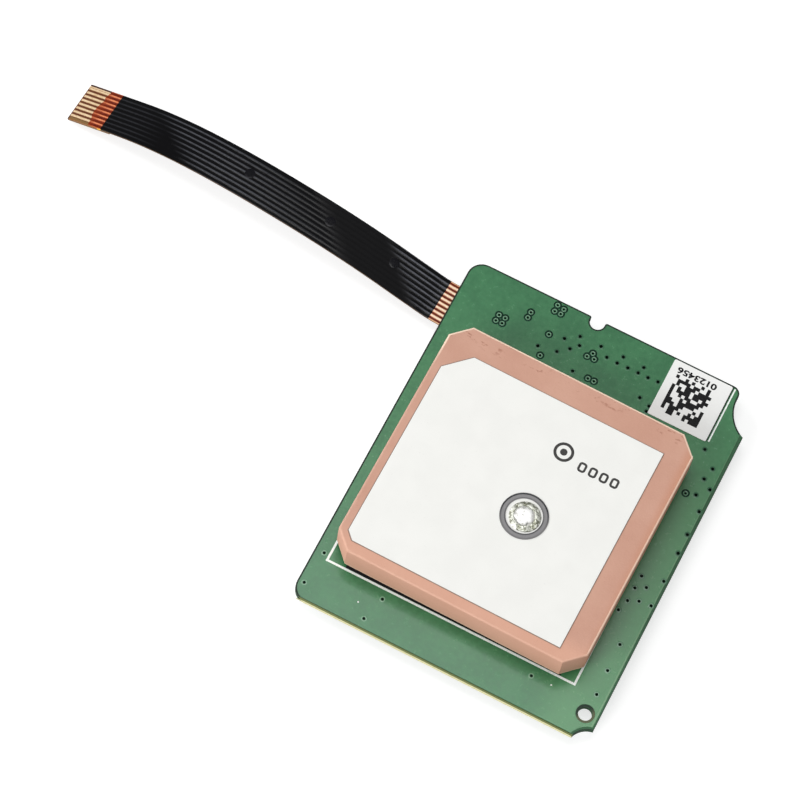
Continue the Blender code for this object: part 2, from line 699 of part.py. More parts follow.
def make_shield_frame():
    """A folded ring: walls that stand on solder feet, and a flange that turns in under the cover."""
    inset = SHEET + SNAP_CLEARANCE
    width = SHIELD_WIDTH - 2 * inset
    length = SHIELD_LENGTH - 2 * inset
    radius = SHIELD_CORNER_RADIUS - inset
    low = SHIELD_BASE + SHEET + SEAT_GAP
    high = BOARD_UNDERSIDE - SEAT_GAP
    frame = make_prism(
        "shield_frame", rounded_rectangle(width, length, radius), low, high, TINPLATE
    )
    pocket = make_prism(
        "frame_pocket",
        rounded_rectangle(width - 2 * SHEET, length - 2 * SHEET, radius / 2),
        low + SHEET,
        high + SHEET,
        None,
    )
    window = make_prism(
        "frame_window",
        rounded_rectangle(width - 2 * FRAME_FLANGE, length - 2 * FRAME_FLANGE, FRAME_FLANGE),
        low - SHEET,
        high + SHEET,
        None,
    )
    gaps = bmesh.new()
    gap_length = FRAME_FOOT_PITCH - FRAME_FOOT_LENGTH
    for place, outward in side_places(FRAME_FOOT_PITCH, FRAME_FOOT_PITCH, inset):
        add_block(
            gaps, place, outward, gap_length, 3 * SHEET, high - FRAME_FOOT_HEIGHT, high + SHEET
        )
    holes = bmesh.new()
    for place, outward in dimple_places(inset):
        add_stud(holes, place, outward, DIMPLE_HOLE_RADIUS, 3 * SHEET, SHIELD_BASE + DIMPLE_HEIGHT)
    cutters = (
        pocket,
        window,
        add_object("frame_foot_gaps", gaps, None),
        add_object("frame_dimple_holes", holes, None),
    )
    frame.location = SHIELD_CENTRE
    for cutter in cutters:
        cutter.location = SHIELD_CENTRE
        cut(frame, cutter)


def make_shield_cover():
    """A shallow lid whose skirt is slit into spring fingers with inward dimples."""
    top = SHIELD_BASE + SKIRT_HEIGHT + SHEET
    cover = make_prism(
        "shield_cover",
        rounded_rectangle(SHIELD_WIDTH, SHIELD_LENGTH, SHIELD_CORNER_RADIUS),
        SHIELD_BASE,
        top,
        TINPLATE,
    )
    bevel_level_edges(cover, SHIELD_BASE, SHEET / 2, 2)
    inner_width = SHIELD_WIDTH - 2 * SHEET
    inner_length = SHIELD_LENGTH - 2 * SHEET
    pocket = make_prism(
        "cover_pocket",
        rounded_rectangle(inner_width, inner_length, SHIELD_CORNER_RADIUS - SHEET),
        SHIELD_BASE + SHEET,
        top + SHEET,
        None,
    )
    slots = bmesh.new()
    slot_low = SHIELD_BASE + 2 * SHEET
    for place, outward in slot_places():
        add_block(slots, place, outward, SKIRT_SLOT_WIDTH, 4 * SHEET, slot_low, top + SHEET)
    corners = bmesh.new()
    for side_x, side_y in ((1, 1), (-1, 1), (-1, -1), (1, -1)):
        corner = Vector((side_x * SHIELD_WIDTH / 2, side_y * SHIELD_LENGTH / 2))
        outline = round_outline(corner.x, corner.y, SKIRT_CORNER_RELIEF)
        add_prism(corners, outline, slot_low, top + SHEET)
    dimples = bmesh.new()
    height = SHIELD_BASE + DIMPLE_HEIGHT
    root = SHEET / 2
    reach = DIMPLE_DEPTH + SNAP_CLEARANCE
    for place, outward in dimple_places(SHEET):
        centre = place - outward * (reach - root) / 2
        add_stud(dimples, centre, -outward, DIMPLE_RADIUS, reach + root, height, DIMPLE_TAPER)
    cover.location = SHIELD_CENTRE
    for name, builder in (("cover_slots", slots), ("cover_corners", corners)):
        cutter = add_object(name, builder, None)
        cutter.location = SHIELD_CENTRE
        cut(cover, cutter)
    pocket.location = SHIELD_CENTRE
    cut(cover, pocket)
    bumps = add_object("cover_dimples", dimples, None)
    bumps.location = SHIELD_CENTRE
    fuse(cover, bumps)


# Parts that hang under the board, inside the shield
def hang(piece, place, turned=False):
    """Put a part that was built at the origin, top face at zero, under the board in the shield."""
    piece.location = SHIELD_CENTRE + Vector((*place, BOARD_UNDERSIDE - SEAT_GAP))
    if turned:
        piece.rotation_euler = (0, 0, QUARTER)


def make_package(name, size, place, material):
    """A moulded package with one keyed corner and eased lower edges."""
    width, length, height = size
    half_x, half_y = width / 2, length / 2
    outline = chamfered_rectangle(-half_x, -half_y, half_x, half_y, (0, 0, 0, PACKAGE_KEY))
    piece = make_prism(name, outline, -height, 0, material)
    bevel_level_edges(piece, -height, PACKAGE_EDGE)
    hang(piece, place)


def make_lidded_package(name, size, place):
    """A ceramic package with a smaller metal lid brazed on, turned over."""
    width, length, height = size
    shoulder = height * (1 - LID_SHARE)
    builder = bmesh.new()
    rings = []
    for inset, drop in ((0, 0), (0, shoulder), (LID_INSET, shoulder), (LID_INSET, height)):
        x, y = width / 2 - inset, length / 2 - inset
        corners = ((-x, -y), (x, -y), (x, y), (-x, y))
        rings.append([builder.verts.new((*corner, -drop)) for corner in corners])
    close_rings(builder, rings)
    hang(add_object(name, builder, PACKAGE_WHITE), place)


def make_chip(name, size, place, turned, material):
    """A two-terminal chip: end caps a step prouder than the body."""
    length, width, height = size
    half = length / 2
    neck = half - TERMINAL_LENGTH
    section = (
        (-half, 0),
        (half, 0),
        (half, -height),
        (neck, -height),
        (neck, -height + TERMINAL_STEP),
        (-neck, -height + TERMINAL_STEP),
        (-neck, -height),
        (-half, -height),
    )
    piece = extrude_section(name, section, width, material)
    hang(piece, (place[0] * MM, place[1] * MM), turned)


def extrude_section(name, section, width, material):
    """Extrude an (x, z) section along Y, centred on it."""
    builder = bmesh.new()
    face = builder.faces.new([builder.verts.new((x, -width / 2, z)) for x, z in section])
    grown = bmesh.ops.extrude_face_region(builder, geom=[face])["geom"]
    verts = [item for item in grown if isinstance(item, bmesh.types.BMVert)]
    bmesh.ops.translate(builder, verts=verts, vec=(0, width, 0))
    return add_object(name, builder, material)


def make_regulator():
    """A small outline package with three gull wing leads on one side and two on the other."""
    width, length, height = REGULATOR_BODY
    body = make_prism(
        "voltage_regulator",
        chamfered_rectangle(-width / 2, -length / 2, width / 2, length / 2, (0, 0, 0, 0)),
        -height,
        -LEAD_THICKNESS / 2,
        MOULDED_BLACK,
    )
    bevel_level_edges(body, -height, PACKAGE_EDGE * 2)
    middle = -height / 2
    inner = width / 2 - LEAD_BITE
    knee = width / 2 + LEAD_REACH - LEAD_FOOT
    toe = width / 2 + LEAD_REACH
    section = (
        (inner, middle),
        (knee - LEAD_THICKNESS, middle),
        (knee, -LEAD_THICKNESS),
        (toe, -LEAD_THICKNESS),
        (toe, 0),
        (knee - LEAD_THICKNESS, 0),
        (knee - 2 * LEAD_THICKNESS, middle + LEAD_THICKNESS),
        (inner, middle + LEAD_THICKNESS),
    )
    rows = ((1, (-1, 0, 1)), (-1, (-1, 1)))
    leads = bmesh.new()
    for side, steps in rows:
        for step in steps:
            y = step * LEAD_PITCH
            ends = [
                [leads.verts.new((side * x, y + half, z)) for x, z in section]
                for half in (-LEAD_WIDTH / 2, LEAD_WIDTH / 2)
            ]
            close_rings(leads, ends)
    lead_set = add_object("regulator_leads", leads, None)
    hang(body, REGULATOR_PLACE)
    hang(lead_set, REGULATOR_PLACE)
    fuse(body, lead_set)


def make_receiver_parts():
    """Everything that the shield covers."""
    make_package("receiver_chip", RECEIVER_SIZE, RECEIVER_PLACE, MOULDED_BLACK)
    make_package("flash_memory", FLASH_SIZE, FLASH_PLACE, MOULDED_BLACK)
    make_package("low_noise_amplifier", AMPLIFIER_SIZE, AMPLIFIER_PLACE, MOULDED_BLACK)
    make_lidded_package("clock_oscillator", OSCILLATOR_SIZE, OSCILLATOR_PLACE)
    make_lidded_package("clock_crystal", CRYSTAL_SIZE, CRYSTAL_PLACE)
    make_lidded_package("band_filter", FILTER_SIZE, FILTER_PLACE)
    make_regulator()
    for kind, size, places, material in (
        ("capacitor", CAPACITOR_SIZE, CAPACITOR_PLACES, CHIP_BROWN),
        ("resistor", RESISTOR_SIZE, RESISTOR_PLACES, MOULDED_BLACK),
        ("inductor", INDUCTOR_SIZE, INDUCTOR_PLACES, CHIP_BROWN),
    ):
        for number, (x, y, turned) in enumerate(places, start=1):
            make_chip(f"{kind}_{number}", size, (x, y), turned, material)


# Flat flex cable
def catmull_rom(before, start, end, after, share):
    """A point between start and end on the curve through four neighbours."""
    square, cube = share * share, share**3
    return 0.5 * (
        2 * start
        + (end - before) * share
        + (2 * before - 5 * start + 4 * end - after) * square
        + (3 * start - before - 3 * end + after) * cube
    )


def flex_stations():
    """Centre points and leans along the flex, from its soldered end to its tip."""
    half_way = (FLEX_INNER_END + LEFT_EDGE) / 2
    under_board = (FLEX_INNER_END, half_way, LEFT_EDGE)
    knots = [Vector((x, FLEX_MIDDLE, FLEX_HEIGHT, 0)) for x in under_board]
    for out, aside, rise, lean in FLEX_ROUTE:
        place = (LEFT_EDGE + out * MM, FLEX_MIDDLE + aside * MM, FLEX_HEIGHT + rise * MM)
        knots.append(Vector((*place, math.radians(lean))))
    padded = [2 * knots[0] - knots[1], *knots, 2 * knots[-1] - knots[-2]]
    stations = []
    for i in range(len(knots) - 1):
        for step in range(FLEX_RINGS_PER_SPAN):
            share = step / FLEX_RINGS_PER_SPAN
            stations.append(catmull_rom(*padded[i : i + 4], share))
    return [*stations, knots[-1]]


def flex_axes(stations):
    """For each station: its centre, the direction across the film and the direction out of it."""
    frames = []
    for i, station in enumerate(stations):
        ahead = stations[min(i + 1, len(stations) - 1)].xyz
        behind = stations[max(i - 1, 0)].xyz
        forward = (ahead - behind).normalized()
        level = (Vector((0, 1, 0)) - forward * forward.y).normalized()
        across = Matrix.Rotation(-station.w, 3, forward) @ level
        frames.append((station.xyz, across, across.cross(forward)))
    return frames


def make_strip(name, sections, aside, width, material):
    """A flat strip. Each section holds the frame to follow and the strip's lower and upper face,
    measured out from the middle of the film."""
    builder = bmesh.new()
    rings = []
    for (centre, across, out), low, high in sections:
        corners = ((-1, low), (1, low), (1, high), (-1, high))
        places = [
            centre + across * (aside + side * width / 2) + out * height for side, height in corners
        ]
        rings.append([builder.verts.new(place) for place in places])
    close_rings(builder, rings)
    return add_object(name, builder, material)


def make_flex():
    """The film along its route, the stiffener under its tail and the eight bare contacts."""
    frames = flex_axes(flex_stations())
    tip, across, out = frames[-1]
    back = (frames[-2][0] - tip).normalized()

    def on_tail(distance):
        return tip + back * distance, across, out

    underside = -FLEX_THICKNESS / 2
    topside = FLEX_THICKNESS / 2
    bare_topside = underside + FLEX_BASE_THICKNESS
    step_at = on_tail(BARE_TAIL_LENGTH)
    before_step = [
        frame for frame in frames if (frame[0] - tip).length > BARE_TAIL_LENGTH + FLEX_THICKNESS
    ]
    film = [(frame, underside, topside) for frame in [*before_step, step_at]]
    film += [(frame, underside, bare_topside) for frame in (step_at, frames[-1])]
    cable = make_strip("flex_cable", film, 0, FLEX_WIDTH, FILM_BLACK)
    cable.data.shade_smooth()
    cable.data.set_sharp_from_angle(angle=SHARP_ANGLE)

    stiffener_top = underside - SEAT_GAP
    stiffener_base = stiffener_top - STIFFENER_THICKNESS
    stiffener = [(on_tail(d), stiffener_base, stiffener_top) for d in (STIFFENER_LENGTH, 0)]
    make_strip("flex_stiffener", stiffener, 0, FLEX_WIDTH, STIFFENER_AMBER)

    contact_base = bare_topside + SEAT_GAP
    contact_top = contact_base + CONTACT_THICKNESS
    ends = (BARE_TAIL_LENGTH - SEAT_GAP, CONTACT_FROM_TIP)
    contact = [(on_tail(distance), contact_base, contact_top) for distance in ends]
    for way in range(WAYS):
        make_strip(f"flex_contact_{way + 1}", contact, way_offset(way), CONTACT_WIDTH, GOLD)


def way_offset(way):
    """How far one way lies from the middle of the film."""
    return (way - (WAYS - 1) / 2) * WAY_PITCH


def make_flex_joints():
    """The solder fillets where the flex's traces meet the pads under the board."""
    start = JOINTS_END - JOINT_LENGTH
    top = BOARD_UNDERSIDE - SEAT_GAP
    slope = solder_slope(start, JOINTS_END, JOINT_HEIGHT, UNDER_SOLDER_ROUNDNESS)
    section = [(start, top), *((x, top - drop) for x, drop in slope), (JOINTS_END, top)]
    for way in range(WAYS):
        joint = extrude_section(f"flex_joint_{way + 1}", section, JOINT_WIDTH, SOLDER)
        joint.location.y = FLEX_MIDDLE + way_offset(way)


make_board()
antenna = make_patch_mount()
make_patch(antenna)
make_feed(antenna)
make_label()
make_shield_frame()
make_shield_cover()
make_receiver_parts()
make_flex()
make_flex_joints()
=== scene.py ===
# %% [markdown]
# A satellite positioning module, about the size of a matchbox. A green circuit board carries a
# pink ceramic patch antenna on its top and a shielded receiver underneath, and a flat flex cable
# runs from its left edge to a tail of bare contacts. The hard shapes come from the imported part,
# which stays fixed. This lesson dresses it: each piece is modelled or painted where it already is.

import math

import bmesh
import bpy
from mathutils import Matrix, Vector, noise


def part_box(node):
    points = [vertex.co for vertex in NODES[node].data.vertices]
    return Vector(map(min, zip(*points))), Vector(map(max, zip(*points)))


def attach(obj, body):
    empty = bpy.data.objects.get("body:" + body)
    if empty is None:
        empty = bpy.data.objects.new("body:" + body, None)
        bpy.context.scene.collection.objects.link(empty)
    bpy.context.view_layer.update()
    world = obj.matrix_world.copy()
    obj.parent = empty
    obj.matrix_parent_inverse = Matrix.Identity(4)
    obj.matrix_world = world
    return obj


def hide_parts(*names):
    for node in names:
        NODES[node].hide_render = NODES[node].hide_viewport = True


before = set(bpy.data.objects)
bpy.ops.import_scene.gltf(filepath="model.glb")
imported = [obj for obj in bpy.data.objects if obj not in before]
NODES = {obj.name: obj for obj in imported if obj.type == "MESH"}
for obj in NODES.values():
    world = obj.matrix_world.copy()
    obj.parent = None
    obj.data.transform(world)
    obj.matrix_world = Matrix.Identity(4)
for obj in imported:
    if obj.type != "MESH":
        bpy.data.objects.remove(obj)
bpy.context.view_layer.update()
MM = 0.001


def millimetres(length):
    """A length from the frame in millimetres, to the nearest thousandth."""
    return round(length / MM, 3)


board_low, board_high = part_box("circuit_board")

# %% [markdown]
# The photograph was taken from well above, with a long lens, and the camera was held a little
# askew. The lens and place were worked out from the board's corners, so the outline falls where
# it does in the picture. A camera could also be aimed by eye with an empty to track, but a
# small turn about its own axis is easier to state as one more angle.

# %% Camera
CAMERA_PLACE = Vector((23.797, -129.363, 327.328)) * MM
CAMERA_AIM = Vector((-14.390, 1.9055, 4.480)) * MM
CAMERA_ROLL = math.radians(11.42)
SENSOR = 36.0
FOCAL_LENGTH = 172.98

bpy.ops.object.select_all(action="DESELECT")
bpy.ops.object.camera_add(location=CAMERA_PLACE)
camera = bpy.context.object
camera.name = "camera"
camera.data.sensor_width = SENSOR
camera.data.lens = FOCAL_LENGTH
camera.rotation_mode = "QUATERNION"
level = (CAMERA_AIM - CAMERA_PLACE).to_track_quat("-Z", "Y")
camera.rotation_quaternion = level @ Matrix.Rotation(CAMERA_ROLL, 3, "Z").to_quaternion()
bpy.context.scene.camera = camera
print("camera is", round((CAMERA_PLACE - CAMERA_AIM).length / MM), "mm away")

# %% [markdown]
# Pieces are modelled with the same operators that a person would use by hand. Operators work on
# what is selected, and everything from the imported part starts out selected, so a few small
# helpers choose a piece, open it for editing, and pick faces or edges by where they are.

# %% Hands
SELECT_MODES = {"faces": "FACE", "edges": "EDGE", "verts": "VERT"}


def choose(*pieces):
    """Select only these pieces, the first of them active."""
    bpy.ops.object.select_all(action="DESELECT")
    for piece in pieces:
        piece.select_set(True)
    bpy.context.view_layer.objects.active = pieces[0]


def name_fresh(name):
    """Name the primitive that was just added."""
    piece = bpy.context.object
    piece.name = piece.data.name = name
    return piece


def open_up(piece):
    """Go into edit mode with the whole piece selected."""
    choose(piece)
    bpy.ops.object.mode_set(mode="EDIT")
    bpy.ops.mesh.select_all(action="SELECT")


def close_up():
    bpy.ops.object.mode_set(mode="OBJECT")


def pick(piece, kind, test):
    """In edit mode, select only the faces, edges or verts that pass a test."""
    bpy.ops.mesh.select_mode(type=SELECT_MODES[kind])
    bpy.ops.mesh.select_all(action="DESELECT")
    mesh = bmesh.from_edit_mesh(piece.data)
    for item in getattr(mesh, kind):
        if test(item):
            item.select_set(True)
    mesh.select_flush_mode()
    bmesh.update_edit_mesh(piece.data)


def middle_of(item):
    """The centre of a face or an edge."""
    return sum((vert.co for vert in item.verts), Vector()) / len(item.verts)


def thicken(piece, height):
    """Pull a flat shape up into a slab whose faces point outwards."""
    open_up(piece)
    bpy.ops.mesh.extrude_region_move(TRANSFORM_OT_translate={"value": (0, 0, height)})
    bpy.ops.mesh.select_all(action="SELECT")
    bpy.ops.mesh.normals_make_consistent(inside=False)
    close_up()


def settle(piece):
    """Put the piece's place, turn and scale into its mesh, so its object sits at the origin."""
    choose(piece)
    bpy.ops.object.transform_apply(location=True, rotation=True, scale=True)


def smooth(piece, degrees=30):
    """Shade smooth, apart from edges sharper than this."""
    choose(piece)
    bpy.ops.object.shade_smooth_by_angle(angle=math.radians(degrees))


def join(name, pieces):
    """Make one mesh of several pieces."""
    choose(*pieces)
    if len(pieces) > 1:
        bpy.ops.object.join()
    return name_fresh(name)


print("hands ready to pick", ", ".join(SELECT_MODES))

# %% [markdown]
# The cable is a flexible printed circuit: eight copper ways between plastic films, 4.5 mm wide and
# 0.15 mm thick. It leaves from under the board's left edge, rises a little and comes down to the
# table. A curve with a flat bevel could draw it, but ridges and windows have to follow it too, so
# each layer is modelled flat, as it would be cut from the roll, and then laid along one route.

# %% Flex route
LEFT_EDGE = millimetres(board_low.x) * MM
FLEX_INNER_END = -12.045 * MM
FLEX_MIDDLE = 13.76 * MM
FLEX_HEIGHT = 1.665 * MM
# Metres in the part's frame, then the film's lean in degrees
FLEX_ROUTE = (
    (-0.016375, 0.013820, 0.001785, 0.1),
    (-0.017875, 0.013950, 0.002025, 0.3),
    (-0.019875, 0.014140, 0.002345, 0.4),
    (-0.021875, 0.014350, 0.002645, 0.4),
    (-0.024375, 0.014590, 0.002975, 0.3),
    (-0.026875, 0.014810, 0.003235, 0.1),
    (-0.029375, 0.015030, 0.003405, 0.0),
    (-0.031875, 0.015240, 0.003505, -0.2),
    (-0.034375, 0.015450, 0.003545, -0.6),
    (-0.036875, 0.015650, 0.003535, -1.0),
    (-0.039375, 0.015830, 0.003465, -1.6),
    (-0.041875, 0.015990, 0.003325, -2.4),
    (-0.044375, 0.016120, 0.003095, -3.4),
    (-0.046875, 0.016210, 0.002735, -4.6),
    (-0.048675, 0.016240, 0.002385, -5.6),
    (-0.050375, 0.016250, 0.001965, -6.3),
    (-0.052675, 0.016260, 0.001325, -6.7),
    (-0.055375, 0.016270, 0.000565, -6.7),
)
RINGS_PER_SPAN = 4


def curve_point(before, start, end, after, share):
    """A point between start and end on the smooth curve through four neighbours."""
    square, cube = share * share, share**3
    return 0.5 * (
        2 * start
        + (end - before) * share
        + (2 * before - 5 * start + 4 * end - after) * square
        + (3 * start - before - 3 * end + after) * cube
    )


def route_stations():
    """Closely spaced centre points of the film, each with its lean as a fourth number."""
    half_way = (FLEX_INNER_END + LEFT_EDGE) / 2
    under_board = (FLEX_INNER_END, half_way, LEFT_EDGE)
    knots = [Vector((x, FLEX_MIDDLE, FLEX_HEIGHT, 0)) for x in under_board]
    knots += [Vector((x, y, z, math.radians(lean))) for x, y, z, lean in FLEX_ROUTE]
    padded = [2 * knots[0] - knots[1], *knots, 2 * knots[-1] - knots[-2]]
    stations = []
    for i in range(len(knots) - 1):
        for step in range(RINGS_PER_SPAN):
            stations.append(curve_point(*padded[i : i + 4], step / RINGS_PER_SPAN))
    return [*stations, knots[-1]]


stations = route_stations()
print("stations along the route:", len(stations))

# %% [markdown]
# A bent strip needs more than a line to follow. At each station the film also has a direction
# across itself and one out of its face, and the small lean of each station turns both. With them,
# any point of a flat layer can be carried to its place on the bent cable. The distances count from
# the board's edge, so the part under the board is negative.

# %% Bending along the route
def route_frames():
    """Each station's distance from the board's edge, centre, and directions across and out."""
    frames, travelled = [], 0.0
    for i, station in enumerate(stations):
        ahead = stations[min(i + 1, len(stations) - 1)].xyz
        behind = stations[max(i - 1, 0)].xyz
        forward = (ahead - behind).normalized()
        level = (Vector((0, 1, 0)) - forward * forward.y).normalized()
        across = Matrix.Rotation(-station.w, 3, forward) @ level
        if i:
            travelled += (station.xyz - stations[i - 1].xyz).length
        frames.append([travelled, station.xyz, across, across.cross(forward)])
    hidden = LEFT_EDGE - FLEX_INNER_END
    for entry in frames:
        entry[0] += hidden
    return frames


FRAMES = route_frames()
START_OF_FLEX, FLEX_REACH = FRAMES[0][0], FRAMES[-1][0]


def place_on_route(along, aside, out):
    """Where a point of the flat film comes to lie."""
    i = 1
    while i < len(FRAMES) - 1 and FRAMES[i][0] < along:
        i += 1
    before, after = FRAMES[i - 1], FRAMES[i]
    share = (along - before[0]) / (after[0] - before[0])
    centre = before[1].lerp(after[1], share)
    across = before[2].lerp(after[2], share).normalized()
    normal = before[3].lerp(after[3], share).normalized()
    return centre + across * aside + normal * out


def lay_along_route(piece):
    """Bend a flat piece along the route. Where it lay on the flat film is kept for its finish."""
    mesh = piece.data
    for name, axis in (("along", 0), ("across", 1)):
        layer = mesh.attributes.new(name, "FLOAT", "POINT")
        layer.data.foreach_set("value", [vert.co[axis] / MM for vert in mesh.vertices])
    for vert in mesh.vertices:
        vert.co = place_on_route(*vert.co)
    mesh.update()


whole_length = (FLEX_REACH - START_OF_FLEX) / MM
print("flex: %.1f mm showing, %.1f mm in all" % (FLEX_REACH / MM, whole_length))

# %% [markdown]
# Four layers make the cable. The amber base film runs its whole length. The black cover film is
# pressed over the copper, so every way shows as a low ridge. It stops short at both ends, where an
# amber window lets the copper show through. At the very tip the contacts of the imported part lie
# bare. Each layer starts as a grid of cells, and the ridges are an inset with a little height.

# %% Flex layers
WAYS = 8
WAY_PITCH = 0.5 * MM
WAY_WIDTH = 0.3 * MM
FLEX_WIDTH = 4.5 * MM
FLEX_UNDERSIDE = -0.075 * MM
BASE_TOP = 0.005 * MM
COVER_TOP = 0.06 * MM
ROOT_WINDOW_TOP = 0.035 * MM
TAIL_WINDOW_TOP = 0.062 * MM
COVER_WIDTH = 4.4 * MM
CELL = 0.1 * MM
COVER_START = 1.12 * MM
COVER_END = FLEX_REACH - 3.6 * MM
WINDOW_END = FLEX_REACH - 2.05 * MM


def add_layer(name, start, end, width, low, high, cell_length, cells_across):
    """A flat slab of film, divided into cells so that it can bend."""
    cells_along = max(2, round((end - start) / cell_length))
    cells = {"x_subdivisions": cells_along, "y_subdivisions": cells_across}
    bpy.ops.mesh.primitive_grid_add(size=1, **cells)
    piece = name_fresh(name)
    piece.scale = (end - start, width, 1)
    piece.location = ((start + end) / 2, 0, low)
    settle(piece)
    thicken(piece, high - low)
    return piece


def is_on_way(aside):
    """Whether a distance from the film's middle lies over one of the copper ways."""
    ways = [(way - (WAYS - 1) / 2) * WAY_PITCH for way in range(WAYS)]
    return any(abs(aside - way) < WAY_WIDTH / 2 for way in ways)


def raise_ways(piece, top, width, height):
    """Raise the cells over each way by an inset that goes up a little."""
    open_up(piece)
    near = 0.001 * MM

    def over_way(face):
        place = middle_of(face)
        return face.normal.z > 0.9 and abs(place.z - top) < near and is_on_way(place.y)

    pick(piece, "faces", over_way)
    bpy.ops.mesh.inset(thickness=width, depth=height)
    close_up()


flex_film = add_layer(
    "flex_film", START_OF_FLEX, FLEX_REACH, FLEX_WIDTH,
    low=FLEX_UNDERSIDE, high=BASE_TOP, cell_length=0.4 * MM, cells_across=12,
)
lay_along_route(flex_film)
cells_wide = round(COVER_WIDTH / CELL)
flex_cover = add_layer(
    "flex_cover", COVER_START, COVER_END, COVER_WIDTH,
    low=BASE_TOP, high=COVER_TOP, cell_length=0.25 * MM, cells_across=cells_wide,
)
raise_ways(flex_cover, COVER_TOP, width=0.1 * MM, height=0.014 * MM)
lay_along_route(flex_cover)
root_window = add_layer(
    "root_window", START_OF_FLEX, COVER_START, COVER_WIDTH,
    low=BASE_TOP, high=ROOT_WINDOW_TOP, cell_length=0.2 * MM, cells_across=cells_wide,
)
raise_ways(root_window, ROOT_WINDOW_TOP, width=0.03 * MM, height=0.025 * MM)
lay_along_route(root_window)
print("cover film:", len(flex_cover.data.polygons), "faces")

# %% [markdown]
# The window at the tail has an uneven front edge, where the adhesive crept along the contacts.
# Moving the front row of vertices by a little noise gives that edge before the piece is bent.

# %% Tail window
CREEP = 0.24 * MM
tail_window = add_layer(
    "tail_window", COVER_END, WINDOW_END, COVER_WIDTH,
    low=BASE_TOP, high=TAIL_WINDOW_TOP, cell_length=0.15 * MM, cells_across=cells_wide,
)
raise_ways(tail_window, TAIL_WINDOW_TOP, width=0.03 * MM, height=0.02 * MM)
for vert in tail_window.data.vertices:
    reach = max(0.0, (vert.co.x - COVER_END) / (WINDOW_END - COVER_END)) ** 3
    wave = noise.noise(Vector((3.1, vert.co.y / MM * 0.9, 0.4)))
    finer = noise.noise(Vector((8.3, vert.co.y / MM * 2.6, 0.9)))
    vert.co.x += reach * CREEP * (2.2 * wave + 0.8 * finer)
lay_along_route(tail_window)
for piece in (flex_film, flex_cover, root_window, tail_window):
    smooth(piece, 40)
print("tail window:", len(tail_window.data.polygons), "faces")

# %% [markdown]
# Three small round marks sit in a row on the black film, where pins held it in the press. Each is
# a disc pulled up a little and inset in steps, so that its top becomes a shallow dome.

# %% Press marks
PRESS_MARKS = ((22.5, 0.34), (13.66, 0.35), (6.54, 0.43))
MARK_RADIUS = 0.5 * MM
MARK_THICKNESS = 0.015 * MM
# How far each inset goes in and up, in millimetres
DOME_STEPS = ((0.06, 0.006), (0.12, 0.004), (0.14, 0.001))
domes = []
for along, aside in PRESS_MARKS:
    place = (along * MM, aside * MM, COVER_TOP)
    bpy.ops.mesh.primitive_circle_add(
        vertices=24, radius=MARK_RADIUS, fill_type="NGON", location=place
    )
    dome = bpy.context.object
    settle(dome)
    thicken(dome, MARK_THICKNESS)
    open_up(dome)
    pick(dome, "faces", lambda face: face.normal.z > 0.9)
    for width, rise in DOME_STEPS:
        bpy.ops.mesh.inset(thickness=width * MM, depth=rise * MM)
    close_up()
    domes.append(dome)
press_marks = join("press_marks", domes)
lay_along_route(press_marks)
smooth(press_marks, 60)
print("press marks:", len(PRESS_MARKS))

# %% [markdown]
# The base film takes the place of the imported part's cable, which is hidden, and the contacts are
# listed by name. The whole cable shows in the photograph; its length is worked out here but not
# kept.

# %% The imported cable
contacts = [f"flex_contact_{way + 1}" for way in range(WAYS)]
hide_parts("flex_cable")
FLEX_REACH - START_OF_FLEX
print("cable declared with", len(contacts), "contacts")

# %% [markdown]
# Every finish is a small network of nodes around one Principled shader. Written as sums, a network
# reads like ordinary arithmetic: a Wire stands for an output, and adding or multiplying it makes
# the Math node. The forms with an r in front serve sums that begin with a plain number.

# %% Wires
class Wire:
    """A node's output that takes part in sums."""

    def __init__(self, finish, socket):
        self.finish = finish
        self.socket = socket

    def math(self, operation, *values):
        return self.finish.node("ShaderNodeMath", {"operation": operation}, values)

    def __add__(self, other):
        return self.math("ADD", self, other)

    def __sub__(self, other):
        return self.math("SUBTRACT", self, other)

    def __rsub__(self, other):
        return self.math("SUBTRACT", other, self)

    def __mul__(self, other):
        return self.math("MULTIPLY", self, other)

    def __truediv__(self, other):
        return self.math("DIVIDE", self, other)

    __radd__ = __add__
    __rmul__ = __mul__


print("wires take part in sums")

# %% [markdown]
# A Finish is one material. One method adds any node there is, and the others are short names for
# the few nodes that the finishes use again and again: noise, a soft step, one colour over another
# and relief. All sizes in the finishes are millimetres, since the first step of each network turns
# object coordinates from metres into millimetres.

